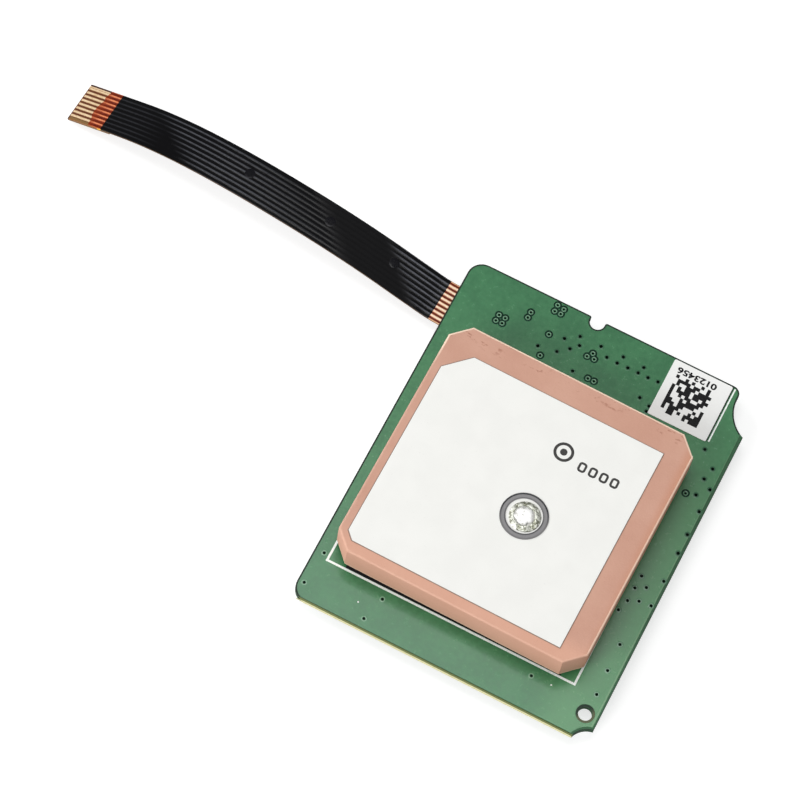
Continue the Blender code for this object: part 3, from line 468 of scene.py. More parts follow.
# %% Finishes
class Finish:
    """A material and the nodes that paint it."""

    def __init__(self, name, roughness=0.5, metallic=0.0, specular=0.5):
        self.material = bpy.data.materials.new(name)
        self.material.use_nodes = True
        self.tree = self.material.node_tree
        self.shader = self.tree.nodes["Principled BSDF"]
        self.set("Roughness", roughness)
        self.set("Metallic", metallic)
        self.set("Specular IOR Level", specular)
        coordinates = self.node("ShaderNodeTexCoord", output="Object")
        scaled = {"operation": "SCALE"}
        self.place = self.node("ShaderNodeVectorMath", scaled, {0: coordinates, "Scale": 1 / MM})
        self.x, self.y, self.z = self.parts_of(self.place)

    def node(self, kind, settings=None, values=(), output=0):
        """Add a node, set it up, then give its sockets values or wires."""
        made = self.tree.nodes.new(kind)
        for key, value in (settings or {}).items():
            setattr(made, key, value)
        pairs = values.items() if isinstance(values, dict) else enumerate(values)
        for key, value in pairs:
            self.feed(made.inputs[key], value)
        return Wire(self, made.outputs[output])

    def feed(self, socket, value):
        if isinstance(value, Wire):
            self.tree.links.new(value.socket, socket)
        else:
            socket.default_value = value

    def set(self, name, value):
        """Give one of the shader's own sockets a value or a wire."""
        self.feed(self.shader.inputs[name], value)

    def parts_of(self, vector):
        parts = self.node("ShaderNodeSeparateXYZ", values=[vector]).socket.node
        return [Wire(self, output) for output in parts.outputs]

    def kept(self, name):
        """A value that the mesh keeps at each point."""
        settings = {"attribute_name": name}
        return self.node("ShaderNodeAttribute", settings, output="Fac")

    def noise(self, size, detail=2.0, where=None, roughness=0.5):
        """Soft random values around a half, in patches of about this many millimetres."""
        values = {
            "Vector": where or self.place,
            "Scale": 1 / size,
            "Detail": detail,
            "Roughness": roughness,
        }
        return self.node("ShaderNodeTexNoise", values=values)

    def stretched(self, x=1.0, y=1.0, z=1.0):
        """The place with its axes scaled, for grain that runs one way."""
        settings = {"operation": "MULTIPLY"}
        return self.node("ShaderNodeVectorMath", settings, [self.place, (x, y, z)])

    def rise(self, value, low, high):
        """0 below low, 1 above high, with a soft step between them."""
        settings = {"interpolation_type": "SMOOTHSTEP"}
        values = {"Value": value, "From Min": low, "From Max": high}
        return self.node("ShaderNodeMapRange", settings, values)

    def over(self, mask, top, under):
        """One colour laid over another where the mask is 1."""
        settings = {"data_type": "RGBA"}
        return self.node("ShaderNodeMix", settings, {0: mask, 6: under, 7: top}, output=2)

    def bump(self, height, depth, strength=1.0):
        """Relief for the shader's Normal: depth is in millimetres."""
        values = {"Height": height, "Distance": depth * MM, "Strength": strength}
        self.set("Normal", self.node("ShaderNodeBump", values=values))


print("finishes can be mixed")

# %% [markdown]
# Colours are written as they read on a screen, and the shader wants them as amounts of light, so
# one small function does that sum. New pieces are dressed with a material, a place in the record
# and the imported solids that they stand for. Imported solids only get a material, because their
# shapes must not change.

# %% Paint and dress
def paint(red, green, blue):
    """A colour as it reads on a screen, 0 to 255, as the shader wants it."""
    levels = [channel / 255 for channel in (red, green, blue)]
    straight = [v / 12.92 if v <= 0.04045 else ((v + 0.055) / 1.055) ** 2.4 for v in levels]
    return (*straight, 1.0)


pieces_made = []


def dress(piece, finish, replaces=()):
    """Give a new piece its finish, its slot in the record, and what it stands for."""
    piece.data.materials.clear()
    piece.data.materials.append(finish.material)
    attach(piece, "root")
    if replaces:
        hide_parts(*replaces)
    pieces_made.append(piece.name)


def paint_nodes(names, finish):
    """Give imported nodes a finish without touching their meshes."""
    for name in names:
        for holder in NODES[name].material_slots:
            holder.material = finish.material


print("white is", paint(255, 255, 255), "and mid grey", round(paint(128, 128, 128)[0], 3))

# %% [markdown]
# The black cover film is a glossy ink film. It is nearly black. The tops of the ridges carry a
# painted grey highlight near the board, along the middle of the cable and a little at the tail, and
# a stretch after the first of these is matt, with no highlight. The values kept as "along" and
# "across" say where a point lay on the flat film, so that the pattern follows the bends.

# %% Black cover film
def way_wave(finish, half_width, softness):
    """1 over the copper ways and 0 in the gaps between them."""
    across = finish.kept("across")
    pitch = WAY_PITCH / MM
    cell = across.math("FRACT", across / pitch + 100.0)
    from_way = across.math("ABSOLUTE", cell - 0.5) * pitch
    return 1.0 - finish.rise(from_way, half_width - softness, half_width + softness)


def along_film(finish, stretch):
    """The point's place on the flat film, drawn out along its length."""
    values = [finish.kept("along") / stretch, finish.kept("across"), 0.0]
    return finish.node("ShaderNodeCombineXYZ", values=values)


cover_film = Finish("black_cover_film", specular=0.15)
scratches = cover_film.noise(0.05, 3, along_film(cover_film, 30))
dust = cover_film.noise(0.35, 3)
run = cover_film.kept("along")
slanted = run - cover_film.kept("across") * 1.2
# Painted highlight on the ridge tops: strongest near the board, weaker mid-cable and at the tail.
root_sheen = 1.0 - cover_film.rise(slanted, 2.4, 7.6)
middle_sheen = cover_film.rise(slanted, 12.5, 26.0) * (1.0 - cover_film.rise(slanted, 28.6, 31.6))
tail_sheen = cover_film.rise(run, 31.0, 35.0)
ridge_sheen = root_sheen * 0.75 + middle_sheen * 0.45 + tail_sheen * 0.12
ridge_sheen = ridge_sheen * (cover_film.rise(dust, 0.2, 0.6) * 0.3 + 0.7)
matt = cover_film.rise(slanted, 4.6, 6.6) * (1.0 - cover_film.rise(slanted, 11.5, 15.0))
highlit = way_wave(cover_film, 0.07, 0.055) * ridge_sheen * (1.0 - matt)
black = cover_film.over(highlit, paint(110, 112, 120), paint(8, 8, 10))
specks = cover_film.rise(cover_film.noise(0.12, 2), 0.74, 0.8)
black = cover_film.over(specks * 0.4, paint(60, 60, 66), black)
cover_film.set("Base Color", black)
gloss = 0.1 + dust * 0.06 + cover_film.rise(scratches, 0.5, 0.8) * 0.06
cover_film.set("Roughness", gloss + matt * 0.55)
cover_film.bump(scratches + cover_film.noise(1.4, 2) * 2.0, 0.004)
dress(flex_cover, cover_film)

mark_film = Finish("press_mark_film", specular=0.2)
polish = mark_film.noise(0.2, 3)
mark_film.set("Base Color", mark_film.over(polish, paint(14, 14, 20), paint(8, 8, 12)))
mark_film.set("Roughness", 0.1 + polish * 0.16)
mark_film.bump(polish, 0.004)
dress(press_marks, mark_film)
print("black film has", len(cover_film.tree.nodes), "nodes")

# %% [markdown]
# Polyimide without ink is amber, and copper under it glows orange. The gaps between the ways let
# less light back and look dark red brown. Over the copper, patches of painted shade stand for a
# wavy film. One function paints both windows, because they differ only in their shades: the one at
# the board is paler, with a painted glint along each way.

# %% Amber windows
def amber_over_copper(name, shades, wave_shading, way_half_width, front):
    """Clear amber, bright over copper: painted shade, a painted glint, dark gaps, a darker front.
    """
    glint, bright, shaded_copper = shades
    finish = Finish(name, specular=0.15)
    copper = way_wave(finish, way_half_width, 0.045)
    uneven = finish.noise(0.5, 3)
    # Painted shade in wavy patches over the lit copper.
    glow = finish.over(finish.rise(uneven, 0.35, 0.7) * wave_shading, shaded_copper, bright)
    # A painted glint along the middle of each way.
    glow = finish.over(way_wave(finish, 0.05, 0.04) * 0.8, glint, glow)
    colour = finish.over(copper, glow, finish.over(uneven, paint(118, 36, 8), paint(84, 18, 4)))
    towards_front = finish.rise(finish.kept("along"), front / MM - 0.9, front / MM - 0.2)
    colour = finish.over(towards_front * 0.5, paint(140, 48, 12), colour)
    finish.set("Base Color", colour)
    finish.set("Roughness", 0.18 + uneven * 0.2)
    finish.bump(finish.noise(0.3, 2), 0.01)
    return finish


# Each window's painted glint, lit copper and painted shade.
ROOT_SHADES = (paint(255, 244, 232), paint(248, 206, 164), paint(234, 160, 106))
TAIL_SHADES = (paint(236, 154, 112), paint(208, 108, 64), paint(166, 60, 20))
root_amber = amber_over_copper("root_amber_film", ROOT_SHADES, 0.6, 0.13, FLEX_REACH)
tail_amber = amber_over_copper("tail_amber_film", TAIL_SHADES, 0.85, 0.1, WINDOW_END)
dress(root_window, root_amber)
dress(tail_window, tail_amber)
print("amber windows:", root_amber.material.name, tail_amber.material.name)

# %% [markdown]
# The base film shows as a thin edge beside the black cover, and at the tail as the ground between
# the contacts. It is darker where the cover presses on it, and its cut edges are dark. A bright
# flake of resin clings to its near edge where the cover ends. Each of these is a strip of colour
# laid on by how far a point lies across or along the film.

# %% Base film
base_amber = Finish("amber_base_film")
clouds = base_amber.noise(1.2, 3)
under_copper = way_wave(base_amber, 0.15, 0.03)
film_colour = base_amber.over(clouds, paint(142, 112, 66), paint(108, 82, 46))
film_colour = base_amber.over(under_copper * 0.6, paint(150, 96, 50), film_colour)
aside, run = base_amber.kept("across"), base_amber.kept("along")
half_film, cover_start, cover_end = FLEX_WIDTH / MM / 2, COVER_START / MM, COVER_END / MM
covered = base_amber.rise(run, cover_start, cover_start + 0.05)
covered = covered * (1.0 - base_amber.rise(run, cover_end - 0.05, cover_end))
far_edge = base_amber.rise(aside, half_film - 0.12, half_film - 0.08) * covered
tip = base_amber.rise(run, FLEX_REACH / MM - 0.12, FLEX_REACH / MM - 0.08)
between_ways = base_amber.rise(aside, -1.96, -1.9) * (1.0 - covered)
bare_edge = base_amber.rise(aside, 1.86, 1.9) * (1.0 - covered)
dark_edge = base_amber.rise(aside, 2.04, 2.08) * (1.0 - covered)
near_edge = covered * (1.0 - base_amber.rise(aside, -2.22, -2.19))
flake = base_amber.rise(run, cover_end - 0.1, cover_end)
flake = flake * (1.0 - base_amber.rise(run, cover_end + 0.3, cover_end + 0.4))
flake = flake * (1.0 - base_amber.rise(aside, -2.05, -1.98))
strips = (
    (covered * 0.85, paint(52, 40, 28)),
    (far_edge, paint(12, 12, 14)),
    (tip, paint(66, 34, 18)),
    (between_ways, paint(100, 50, 20)),
    (bare_edge, paint(236, 206, 166)),
    (dark_edge, paint(66, 30, 16)),
    (near_edge, paint(98, 74, 48)),
    (flake, paint(252, 206, 70)),
)
for mask, shade in strips:
    film_colour = base_amber.over(mask, shade, film_colour)
base_amber.set("Base Color", film_colour)
base_amber.set("Roughness", 0.25 + clouds * 0.2)
base_amber.bump(base_amber.noise(0.8, 2), 0.006)
dress(flex_film, base_amber)
print("strips on the base film:", len(strips))

# %% [markdown]
# The stiffener under the tail is a second film, glued on. It is amber too, deeper and cloudier,
# and a little uneven where the glue lies behind it.

# %% Stiffener
stiffener = Finish("amber_stiffener")
grain = stiffener.noise(0.6, 4)
stiffener.set("Base Color", stiffener.over(grain, paint(150, 104, 44), paint(112, 74, 30)))
stiffener.set("Roughness", 0.3 + grain * 0.2)
stiffener.bump(grain, 0.01)
paint_nodes(["flex_stiffener"], stiffener)
print("stiffener has", len(stiffener.tree.nodes), "nodes")

# %% [markdown]
# The bare contacts are copper with a thin gold wash. They are pale, almost straw coloured, with
# fine lengthwise scratches from the connector that tested them, and painted shade makes them
# browner towards their long edges. The contacts run nearly along the x axis, so a point's distance
# from the nearest centre line follows from its y, and the frame says where the first and the last
# centre lines are.

# %% Gold contacts
def middle_across(name):
    """The place of a contact's centre line across the module, in millimetres."""
    corners = NODES[name].data.vertices
    return sum(vert.co.y for vert in corners) / len(corners) / MM


gold = Finish("gold_contacts", metallic=0.35)
wipes = gold.noise(0.06, 3, gold.stretched(x=0.06))
tarnish = gold.noise(0.5, 2)
plated = gold.over(gold.rise(tarnish, 0.4, 0.75), paint(230, 196, 152), paint(246, 218, 178))
plated = gold.over(gold.rise(wipes, 0.55, 0.8) * 0.5, paint(208, 166, 118), plated)
first_way = middle_across("flex_contact_1")
way_step = (middle_across(f"flex_contact_{WAYS}") - first_way) / (WAYS - 1)
cell = gold.y.math("FRACT", (gold.y - first_way) / way_step + 0.5)
from_way = cell.math("ABSOLUTE", cell - 0.5) * way_step
# Painted shade towards the long edges of each contact.
edge_shade = gold.rise(from_way, 0.07, 0.14)
gold.set("Base Color", gold.over(edge_shade * 0.85, paint(156, 102, 56), plated))
gold.set("Roughness", 0.28 + wipes * 0.25)
gold.bump(wipes, 0.004)
paint_nodes(contacts, gold)
print("contacts gilded:", len(contacts))

# %% [markdown]
# Solder mask is a glossy green lacquer. It lies on the whole board, over copper and over bare
# laminate, so one function mixes it for all the green pieces: broad clouds, fine mottling and a
# few dust pits keep it from looking like painted plastic.

# %% Solder mask
BOARD_TOP, BOARD_UNDERSIDE = millimetres(board_high.z), millimetres(board_low.z)
BOARD_RIGHT, BOARD_BOTTOM = millimetres(board_high.x), millimetres(board_low.y)


def green_mask(name, light, dark, specular=0.5):
    """A green lacquer and its colour, a little uneven, over the weave of the laminate."""
    finish = Finish(name, specular=specular)
    clouds = finish.noise(3.4, 4, roughness=0.6)
    mottle = finish.noise(0.45, 3)
    shade = finish.rise(clouds * 0.55 + mottle * 0.45, 0.36, 0.66)
    colour = finish.over(shade, light, dark)
    pits = finish.rise(finish.noise(0.16, 1), 0.71, 0.76)
    colour = finish.over(pits * 0.2, dark, colour)
    finish.set("Roughness", mottle * 0.08 + 0.22)
    finish.bump(mottle * 0.5 + finish.noise(0.14, 2) * 0.1 + clouds, 0.006, 0.5)
    return finish, colour


print("board from", BOARD_UNDERSIDE, "to", BOARD_TOP, "mm above the table")

# %% [markdown]
# The board is glass cloth and resin with copper on both faces. Where copper lies under the mask it
# looks lighter, and a thin sheet for that is laid on the board further on. What stays bare is
# painted here: a nearly black line round the outline, a mid green margin along the right edge and
# round the corner's relief, a ring at the locating hole painted light on its lower right and
# painted shade on its upper left, and olive along the front.

# %% Laminate
CORNER_RELIEF = (15.205, -19.3)
CORNER_RELIEF_RADIUS = 1.9
LOCATING_HOLE = (13.545, -16.35)
PAINTED_MARGIN = 0.42
MARGIN_AT_RELIEF = 0.4
LOCATING_RING = 1.0


def from_point(finish, place):
    """The distance from a place, seen from above, in millimetres."""
    x, y = finish.x - place[0], finish.y - place[1]
    square = x * x + y * y
    return square.math("SQRT", square)


laminate, margin = green_mask("bare_green_mask", paint(54, 100, 68), paint(46, 90, 58), 0.25)
from_relief = from_point(laminate, CORNER_RELIEF) - CORNER_RELIEF_RADIUS
near_relief = 1.0 - laminate.rise(from_relief, MARGIN_AT_RELIEF, MARGIN_AT_RELIEF + 0.1)
in_margin = laminate.rise(laminate.x, BOARD_RIGHT - PAINTED_MARGIN, BOARD_RIGHT - 0.4)
in_margin = in_margin.math("MAXIMUM", in_margin, near_relief)
in_margin = in_margin * laminate.rise(from_relief, 0.04, 0.08)
in_margin = in_margin * (1.0 - laminate.rise(laminate.x, BOARD_RIGHT - 0.06, BOARD_RIGHT - 0.03))
bare_mask = laminate.over(in_margin, margin, paint(9, 34, 20))
# The ring at the locating hole: painted light on its lower right, painted shade on its upper left.
from_hole = from_point(laminate, LOCATING_HOLE)
hole_ring = 1.0 - laminate.rise(from_hole, LOCATING_RING, LOCATING_RING + 0.02)
across_hole = laminate.x - laminate.y - (LOCATING_HOLE[0] - LOCATING_HOLE[1])
hole_shade = laminate.rise(across_hole, -0.495, 0.405)
ring_colour = laminate.over(hole_shade, paint(86, 92, 66), paint(18, 44, 28))
bare_mask = laminate.over(hole_ring, ring_colour, bare_mask)
front_edge = 1.0 - laminate.rise(laminate.y, BOARD_BOTTOM + 0.19, BOARD_BOTTOM + 0.21)
bare_mask = laminate.over(front_edge, paint(112, 124, 68), bare_mask)
print("bare mask mixed from", len(laminate.tree.nodes), "nodes")

# %% [markdown]
# The same finish goes on over the rim. Along the milled sides the layers of glass cloth show. The
# front was snapped from a panel, so its edge is olive, and torn and pale below the upper corner.
# Where a point lies between the two faces decides whether it gets the mask or the rim's colours.

# %% Cut edges
layers = laminate.rise(laminate.noise(0.09, 2, laminate.stretched(0.25, 0.25, 3)), 0.4, 0.62)
milled = laminate.over(layers, paint(50, 84, 56), paint(34, 62, 42))
torn = laminate.over(laminate.noise(0.2, 3), paint(248, 244, 204), paint(206, 202, 140))
on_front = laminate.rise(laminate.y, BOARD_BOTTOM + 0.12, BOARD_BOTTOM + 0.02)
below_top = 1.0 - laminate.rise(laminate.z, BOARD_TOP - 0.1, BOARD_TOP - 0.05)
edge_colour = laminate.over(on_front, paint(128, 122, 64), milled)
edge_colour = laminate.over(on_front * below_top, torn, edge_colour)
rim_top = laminate.rise(laminate.z, BOARD_TOP - 0.015, BOARD_TOP - 0.03)
rim = rim_top * laminate.rise(laminate.z, BOARD_UNDERSIDE + 0.015, BOARD_UNDERSIDE + 0.03)
laminate.set("Base Color", laminate.over(rim, edge_colour, bare_mask))
laminate.set("Roughness", rim * 0.4 + 0.42)
paint_nodes(["circuit_board"], laminate)
print("laminate painted with", len(laminate.tree.nodes), "nodes")

# %% [markdown]
# The coated copper starts as a copy of the board's own top face, so it follows every relief and
# notch. An inset pulls its outline back, and a bisect trims the margin along the right edge.
# Drawing the outline again by hand would also work, but the copy can't drift away from the board.
# The same steps make the underside.

# %% Coated copper
SHEET_HEIGHT = 0.018 * MM
COPPER_SETBACK = 0.15 * MM
RIGHT_MARGIN = 0.27 * MM


def face_copy(name, height, facing):
    """A copy of one flat face of the board, merged and trimmed back from the outline."""
    piece = bpy.data.objects.new(name, NODES["circuit_board"].data.copy())
    bpy.context.scene.collection.objects.link(piece)
    piece.data.name = name
    open_up(piece)
    bpy.ops.mesh.remove_doubles(threshold=0.0005 * MM)
    near = 0.002 * MM

    def elsewhere(face):
        return face.normal.z * facing < 0.9 or abs(middle_of(face).z - height) > near

    pick(piece, "faces", elsewhere)
    bpy.ops.mesh.delete(type="FACE")
    bpy.ops.mesh.select_all(action="SELECT")
    bpy.ops.mesh.inset(thickness=COPPER_SETBACK, depth=0)
    bpy.ops.mesh.select_all(action="INVERT")
    bpy.ops.mesh.delete(type="FACE")
    bpy.ops.mesh.select_all(action="SELECT")
    margin_line = (BOARD_RIGHT * MM - RIGHT_MARGIN, 0, 0)
    bpy.ops.mesh.bisect(plane_co=margin_line, plane_no=(1, 0, 0), clear_outer=True)
    close_up()
    thicken(piece, SHEET_HEIGHT * facing)
    return piece


top_copper = face_copy("top_copper", BOARD_TOP * MM, facing=1)
under_copper_sheet = face_copy("underside_copper", BOARD_UNDERSIDE * MM, facing=-1)
print("faces of the top sheet before drilling:", len(top_copper.data.polygons))

# %% [markdown]
# Round clearances are drilled with cylinders: one for each of the bigger through holes, one for
# the locating hole and one for the relief at the corner. All the cylinders of one size are joined,
# so that a single cut takes them away.

# %% Drills
DRILL_DEPTH = 0.2 * MM
PAD_CLEARANCE = 0.4
LOCATING_CLEARANCE = 0.89
CORNER_CLEARANCE = CORNER_RELIEF_RADIUS + RIGHT_MARGIN / MM


def add_drill(places, radius, height):
    """Cylinders that cut round holes at these places, in millimetres."""
    drills = []
    for x, y in places:
        bpy.ops.mesh.primitive_cylinder_add(
            vertices=28, radius=radius * MM, depth=DRILL_DEPTH, location=(x * MM, y * MM, height)
        )
        drills.append(bpy.context.object)
    return join("drill", drills)


def cut_away(piece, cutter):
    """Take the cutter away from the piece for good."""
    cut = piece.modifiers.new("cut", "BOOLEAN")
    cut.operation = "DIFFERENCE"
    cut.object = cutter
    cut.solver = "EXACT"
    cut.use_self = True
    choose(piece)
    bpy.ops.object.modifier_apply(modifier=cut.name)
    bpy.data.objects.remove(cutter)


print("clearances of radius", PAD_CLEARANCE, LOCATING_CLEARANCE, round(CORNER_CLEARANCE, 2), "mm")

# %% [markdown]
# Through holes join the copper layers. The bigger ones stand in small groups with a clear ring
# round each, and the rest are plain dots. Their places were read off the photograph one by one,
# with the corner of the board as zero.

# %% Through holes
CORNER = (-14.875, -18.8)
RINGED = (
    (4.50, 33.61), (5.14, 33.59), (4.48, 32.97), (5.11, 32.98), (6.99, 35.28), (6.97, 34.66),
    (8.88, 37.13), (9.57, 37.02), (8.89, 36.45), (9.51, 36.46), (13.89, 34.30), (13.53, 33.79),
    (14.24, 33.83), (9.44, 34.07), (9.65, 31.77), (27.40, 25.85), (14.56, 31.82), (15.18, 31.82),
)
PLAIN = (
    (9.04, 32.53), (10.85, 32.86), (10.90, 34.39), (12.10, 35.27), (12.45, 34.42), (11.80, 33.70),
    (12.99, 31.80), (14.25, 35.31), (15.20, 34.58), (16.54, 35.34), (16.29, 34.51), (17.37, 34.55),
    (18.67, 35.30), (18.44, 34.56), (19.45, 34.56), (20.45, 34.62), (19.64, 32.39), (20.76, 32.02),
    (20.76, 31.44), (27.14, 30.61), (28.60, 29.20), (28.32, 27.93), (29.24, 27.23), (28.32, 26.15),
    (29.28, 24.81), (29.27, 22.26), (29.29, 20.21), (27.28, 16.64), (29.29, 17.15), (27.24, 15.33),
    (28.15, 15.85), (27.17, 13.91), (28.12, 14.35), (29.28, 14.47), (26.82, 12.72), (28.37, 9.80),
    (28.44, 7.05), (28.54, 4.55), (22.60, 3.35), (0.94, 4.95), (0.64, 1.58), (7.57, 3.49),
    (6.94, 1.06),
)


def from_corner(places):
    return [(x + CORNER[0], y + CORNER[1]) for x, y in places]


ringed, plain = from_corner(RINGED), from_corner(PLAIN)
cut_away(top_copper, add_drill(ringed, PAD_CLEARANCE, BOARD_TOP * MM))
cut_away(top_copper, add_drill([LOCATING_HOLE], LOCATING_CLEARANCE, BOARD_TOP * MM))
cut_away(top_copper, add_drill([CORNER_RELIEF], CORNER_CLEARANCE, BOARD_TOP * MM))
cut_away(under_copper_sheet, add_drill([LOCATING_HOLE], LOCATING_CLEARANCE, BOARD_UNDERSIDE * MM))
print("copper sheets:", len(top_copper.data.polygons), len(under_copper_sheet.data.polygons))

# %% [markdown]
# One hole is turned on a lathe and copied: a short profile of edges is spun round the upright axis.
# The lacquer sinks into the hole and leaves a soft rim, so the profile dips in the middle, climbs
# over a rounded rim and falls to the board. The distance from the middle is kept on the mesh for
# the finish.

# %% Turning on a lathe
RINGED_PROFILE = (
    (0.0, 0.004), (0.08, 0.005), (0.12, 0.013), (0.16, 0.02), (0.2, 0.022), (0.24, 0.018),
    (0.28, 0.008), (0.395, 0.002),
)
PLAIN_PROFILE = ((0.0, 0.0195), (0.14, 0.0198), (0.18, 0.023), (0.22, 0.023), (0.3, 0.018))


def turn(name, profile, steps=24):
    """Spin a line of (radius, height) points, in millimetres, round the upright axis."""
    mesh = bpy.data.meshes.new(name)
    points = [(radius * MM, 0, height * MM) for radius, height in profile]
    mesh.from_pydata(points, [(i, i + 1) for i in range(len(points) - 1)], [])
    piece = bpy.data.objects.new(name, mesh)
    bpy.context.scene.collection.objects.link(piece)
    open_up(piece)
    bpy.ops.mesh.spin(steps=steps, angle=2 * math.pi, center=(0, 0, 0), axis=(0, 0, 1))
    bpy.ops.mesh.select_all(action="SELECT")
    bpy.ops.mesh.remove_doubles(threshold=0.001 * MM)
    bpy.ops.mesh.normals_make_consistent(inside=False)
    close_up()
    return piece


def keep_radius(piece):
    """Keep each point's distance from the upright axis, in millimetres."""
    layer = piece.data.attributes.new("from_middle", "FLOAT", "POINT")
    layer.data.foreach_set("value", [vert.co.xy.length / MM for vert in piece.data.vertices])


def scatter(name, model, places, height, facing=1):
    """Copies of one small piece at these places, each with its own mesh, joined into one."""
    copies = []
    for x, y in places:
        one = bpy.data.objects.new(name, model.data.copy())
        bpy.context.scene.collection.objects.link(one)
        one.location = (x * MM, y * MM, height * MM)
        one.rotation_euler = (0 if facing > 0 else math.pi, 0, 0)
        copies.append(one)
    bpy.data.objects.remove(model)
    piece = join(name, copies)
    settle(piece)
    return piece


def close_base(piece):
    """Put a face over the open ring under a turned piece."""
    open_up(piece)
    bpy.ops.mesh.select_all(action="DESELECT")
    bpy.ops.mesh.select_mode(type="EDGE")
    bpy.ops.mesh.select_non_manifold()
    bpy.ops.mesh.fill()
    bpy.ops.mesh.select_all(action="SELECT")
    bpy.ops.mesh.normals_make_consistent(inside=False)
    close_up()


print("profiles of", len(RINGED_PROFILE), "and", len(PLAIN_PROFILE), "points")

# %% [markdown]
# The ringed holes stand on the top side only. The plain ones show on both sides, apart from those
# that lie under the shield or among the cable's joints.

# %% Lacquered holes
# The shield's left, right, near and far side, and where the cable's joints begin, in millimetres
SHIELD_SIDES = (-11.2, 11.85, -14.8, 10.4)
CABLE_JOINTS = 10.5


def clear_of_shield(places):
    """The places that the shield and the cable's joints leave open under the board."""
    left, right, near, far = SHIELD_SIDES
    clear = []
    for x, y in places:
        under_shield = left < x < right and near < y < far
        by_cable = x < left and y > CABLE_JOINTS
        if not (under_shield or by_cable):
            clear.append((x, y))
    return clear


def lacquered_holes(name, profile, places, height, facing=1):
    """All the holes of one kind on one side of the board."""
    model = turn(name, profile)
    close_base(model)
    keep_radius(model)
    if profile is RINGED_PROFILE:
        layer = model.data.attributes.new("ringed", "FLOAT", "POINT")
        layer.data.foreach_set("value", [1.0] * len(model.data.vertices))
    piece = scatter(name, model, places, height, facing)
    smooth(piece, 60)
    return piece


ringed_holes = lacquered_holes("ringed_holes", RINGED_PROFILE, ringed, BOARD_TOP)
plain_holes = lacquered_holes("plain_holes", PLAIN_PROFILE, plain, BOARD_TOP)
under_places = clear_of_shield(plain)
under_holes = lacquered_holes("underside_holes", PLAIN_PROFILE, under_places, BOARD_UNDERSIDE, -1)
print("holes:", len(ringed), "ringed,", len(plain), "plain,", len(under_places), "underneath")

# %% [markdown]
# Mask over copper is the same lacquer on a brighter ground. Painted light makes it paler towards
# the right, more so in the near half, a painted highlight runs along the right margin, and a thin
# painted shadow lies beside the sticker.

# %% Green over copper
copper_mask, over_copper = green_mask(
    "copper_green_mask", light=paint(57, 122, 78), dark=paint(47, 109, 69)
)
# Painted light: paler towards the right, more so in the near half.
right_sheen = copper_mask.rise(copper_mask.x, 8.0, 12.0) * 0.42
right_sheen = right_sheen * (1.0 - copper_mask.rise(copper_mask.y, 4.0, 13.0) * 0.7)
over_copper = copper_mask.over(right_sheen, paint(100, 160, 108), over_copper)
# A painted highlight along the right margin.
edge_highlight = copper_mask.rise(copper_mask.x, BOARD_RIGHT - 0.4, BOARD_RIGHT - 0.34)
over_copper = copper_mask.over(edge_highlight * 0.45, paint(116, 160, 116), over_copper)
# A thin painted shadow beside the sticker.
label_shadow = copper_mask.rise(copper_mask.x, 11.95, 11.99)
label_shadow = label_shadow * (1.0 - copper_mask.rise(copper_mask.x, 12.07, 12.13))
label_shadow = label_shadow * copper_mask.rise(copper_mask.y, 12.6, 12.7)
label_shadow = label_shadow * copper_mask.rise(copper_mask.z, 2.2, 2.3)
copper_mask.set("Base Color", copper_mask.over(label_shadow, paint(20, 38, 28), over_copper))
dress(top_copper, copper_mask)
dress(under_copper_sheet, copper_mask)
print("copper coated")

# %% [markdown]
# The lacquer at the holes goes by the distance from the middle that the mesh keeps. The middle is
# painted nearly black as the shade in the hole. Ringed holes and all those in the near half have a
# painted highlight on the rim, and the plain ones in the far half a soft painted shade round them.
# Round each ringed hole the board shows dark in a clear band.

# %% Green at the holes
hole_mask, ring_ground = green_mask(
    "hole_green_mask", light=paint(62, 124, 84), dark=paint(52, 112, 74)
)
from_middle, is_ringed = hole_mask.kept("from_middle"), hole_mask.kept("ringed")
near_half = 1.0 - hole_mask.rise(hole_mask.y, -7.0, 3.0)
# The middle of each hole is painted nearly black, the shade inside it.
shaded_dip = 1.0 - hole_mask.rise(from_middle + is_ringed * 0.04 + near_half * 0.015, 0.135, 0.18)
clear = hole_mask.rise(from_middle, 0.21, 0.25) * is_ringed
# Painted shade round plain holes in the far half, and a painted highlight on the rims.
shaded = (1.0 - near_half) * (1.0 - is_ringed) * (1.0 - hole_mask.rise(from_middle, 0.22, 0.3))
past_rim = hole_mask.rise(from_middle, 0.22, 0.29)
rim_light = hole_mask.rise(from_middle, 0.14, 0.18) * (1.0 - past_rim)
rim_light = rim_light * (is_ringed * 0.38 + near_half * 0.4)
ring_colour = hole_mask.over(shaded * 0.6, paint(30, 76, 50), ring_ground)
ring_colour = hole_mask.over(rim_light, paint(158, 192, 166), ring_colour)
ring_colour = hole_mask.over(clear, paint(20, 52, 38), ring_colour)
hole_mask.set("Base Color", hole_mask.over(shaded_dip, paint(4, 20, 12), ring_colour))
hole_mask.set("Metallic", shaded_dip + clear * 0.85)
hole_mask.set("Roughness", 0.24 + shaded_dip * 0.6 + clear * 0.3)
for piece in (ringed_holes, plain_holes, under_holes):
    dress(piece, hole_mask)
print("hole finish has", len(hole_mask.tree.nodes), "nodes")

# %% [markdown]
# White ink marks the antenna's place and the label's. Each line is a flat shape with a face cut
# out or a narrow plane, raised by the thickness of ink. Two drops of ink are small turned domes.

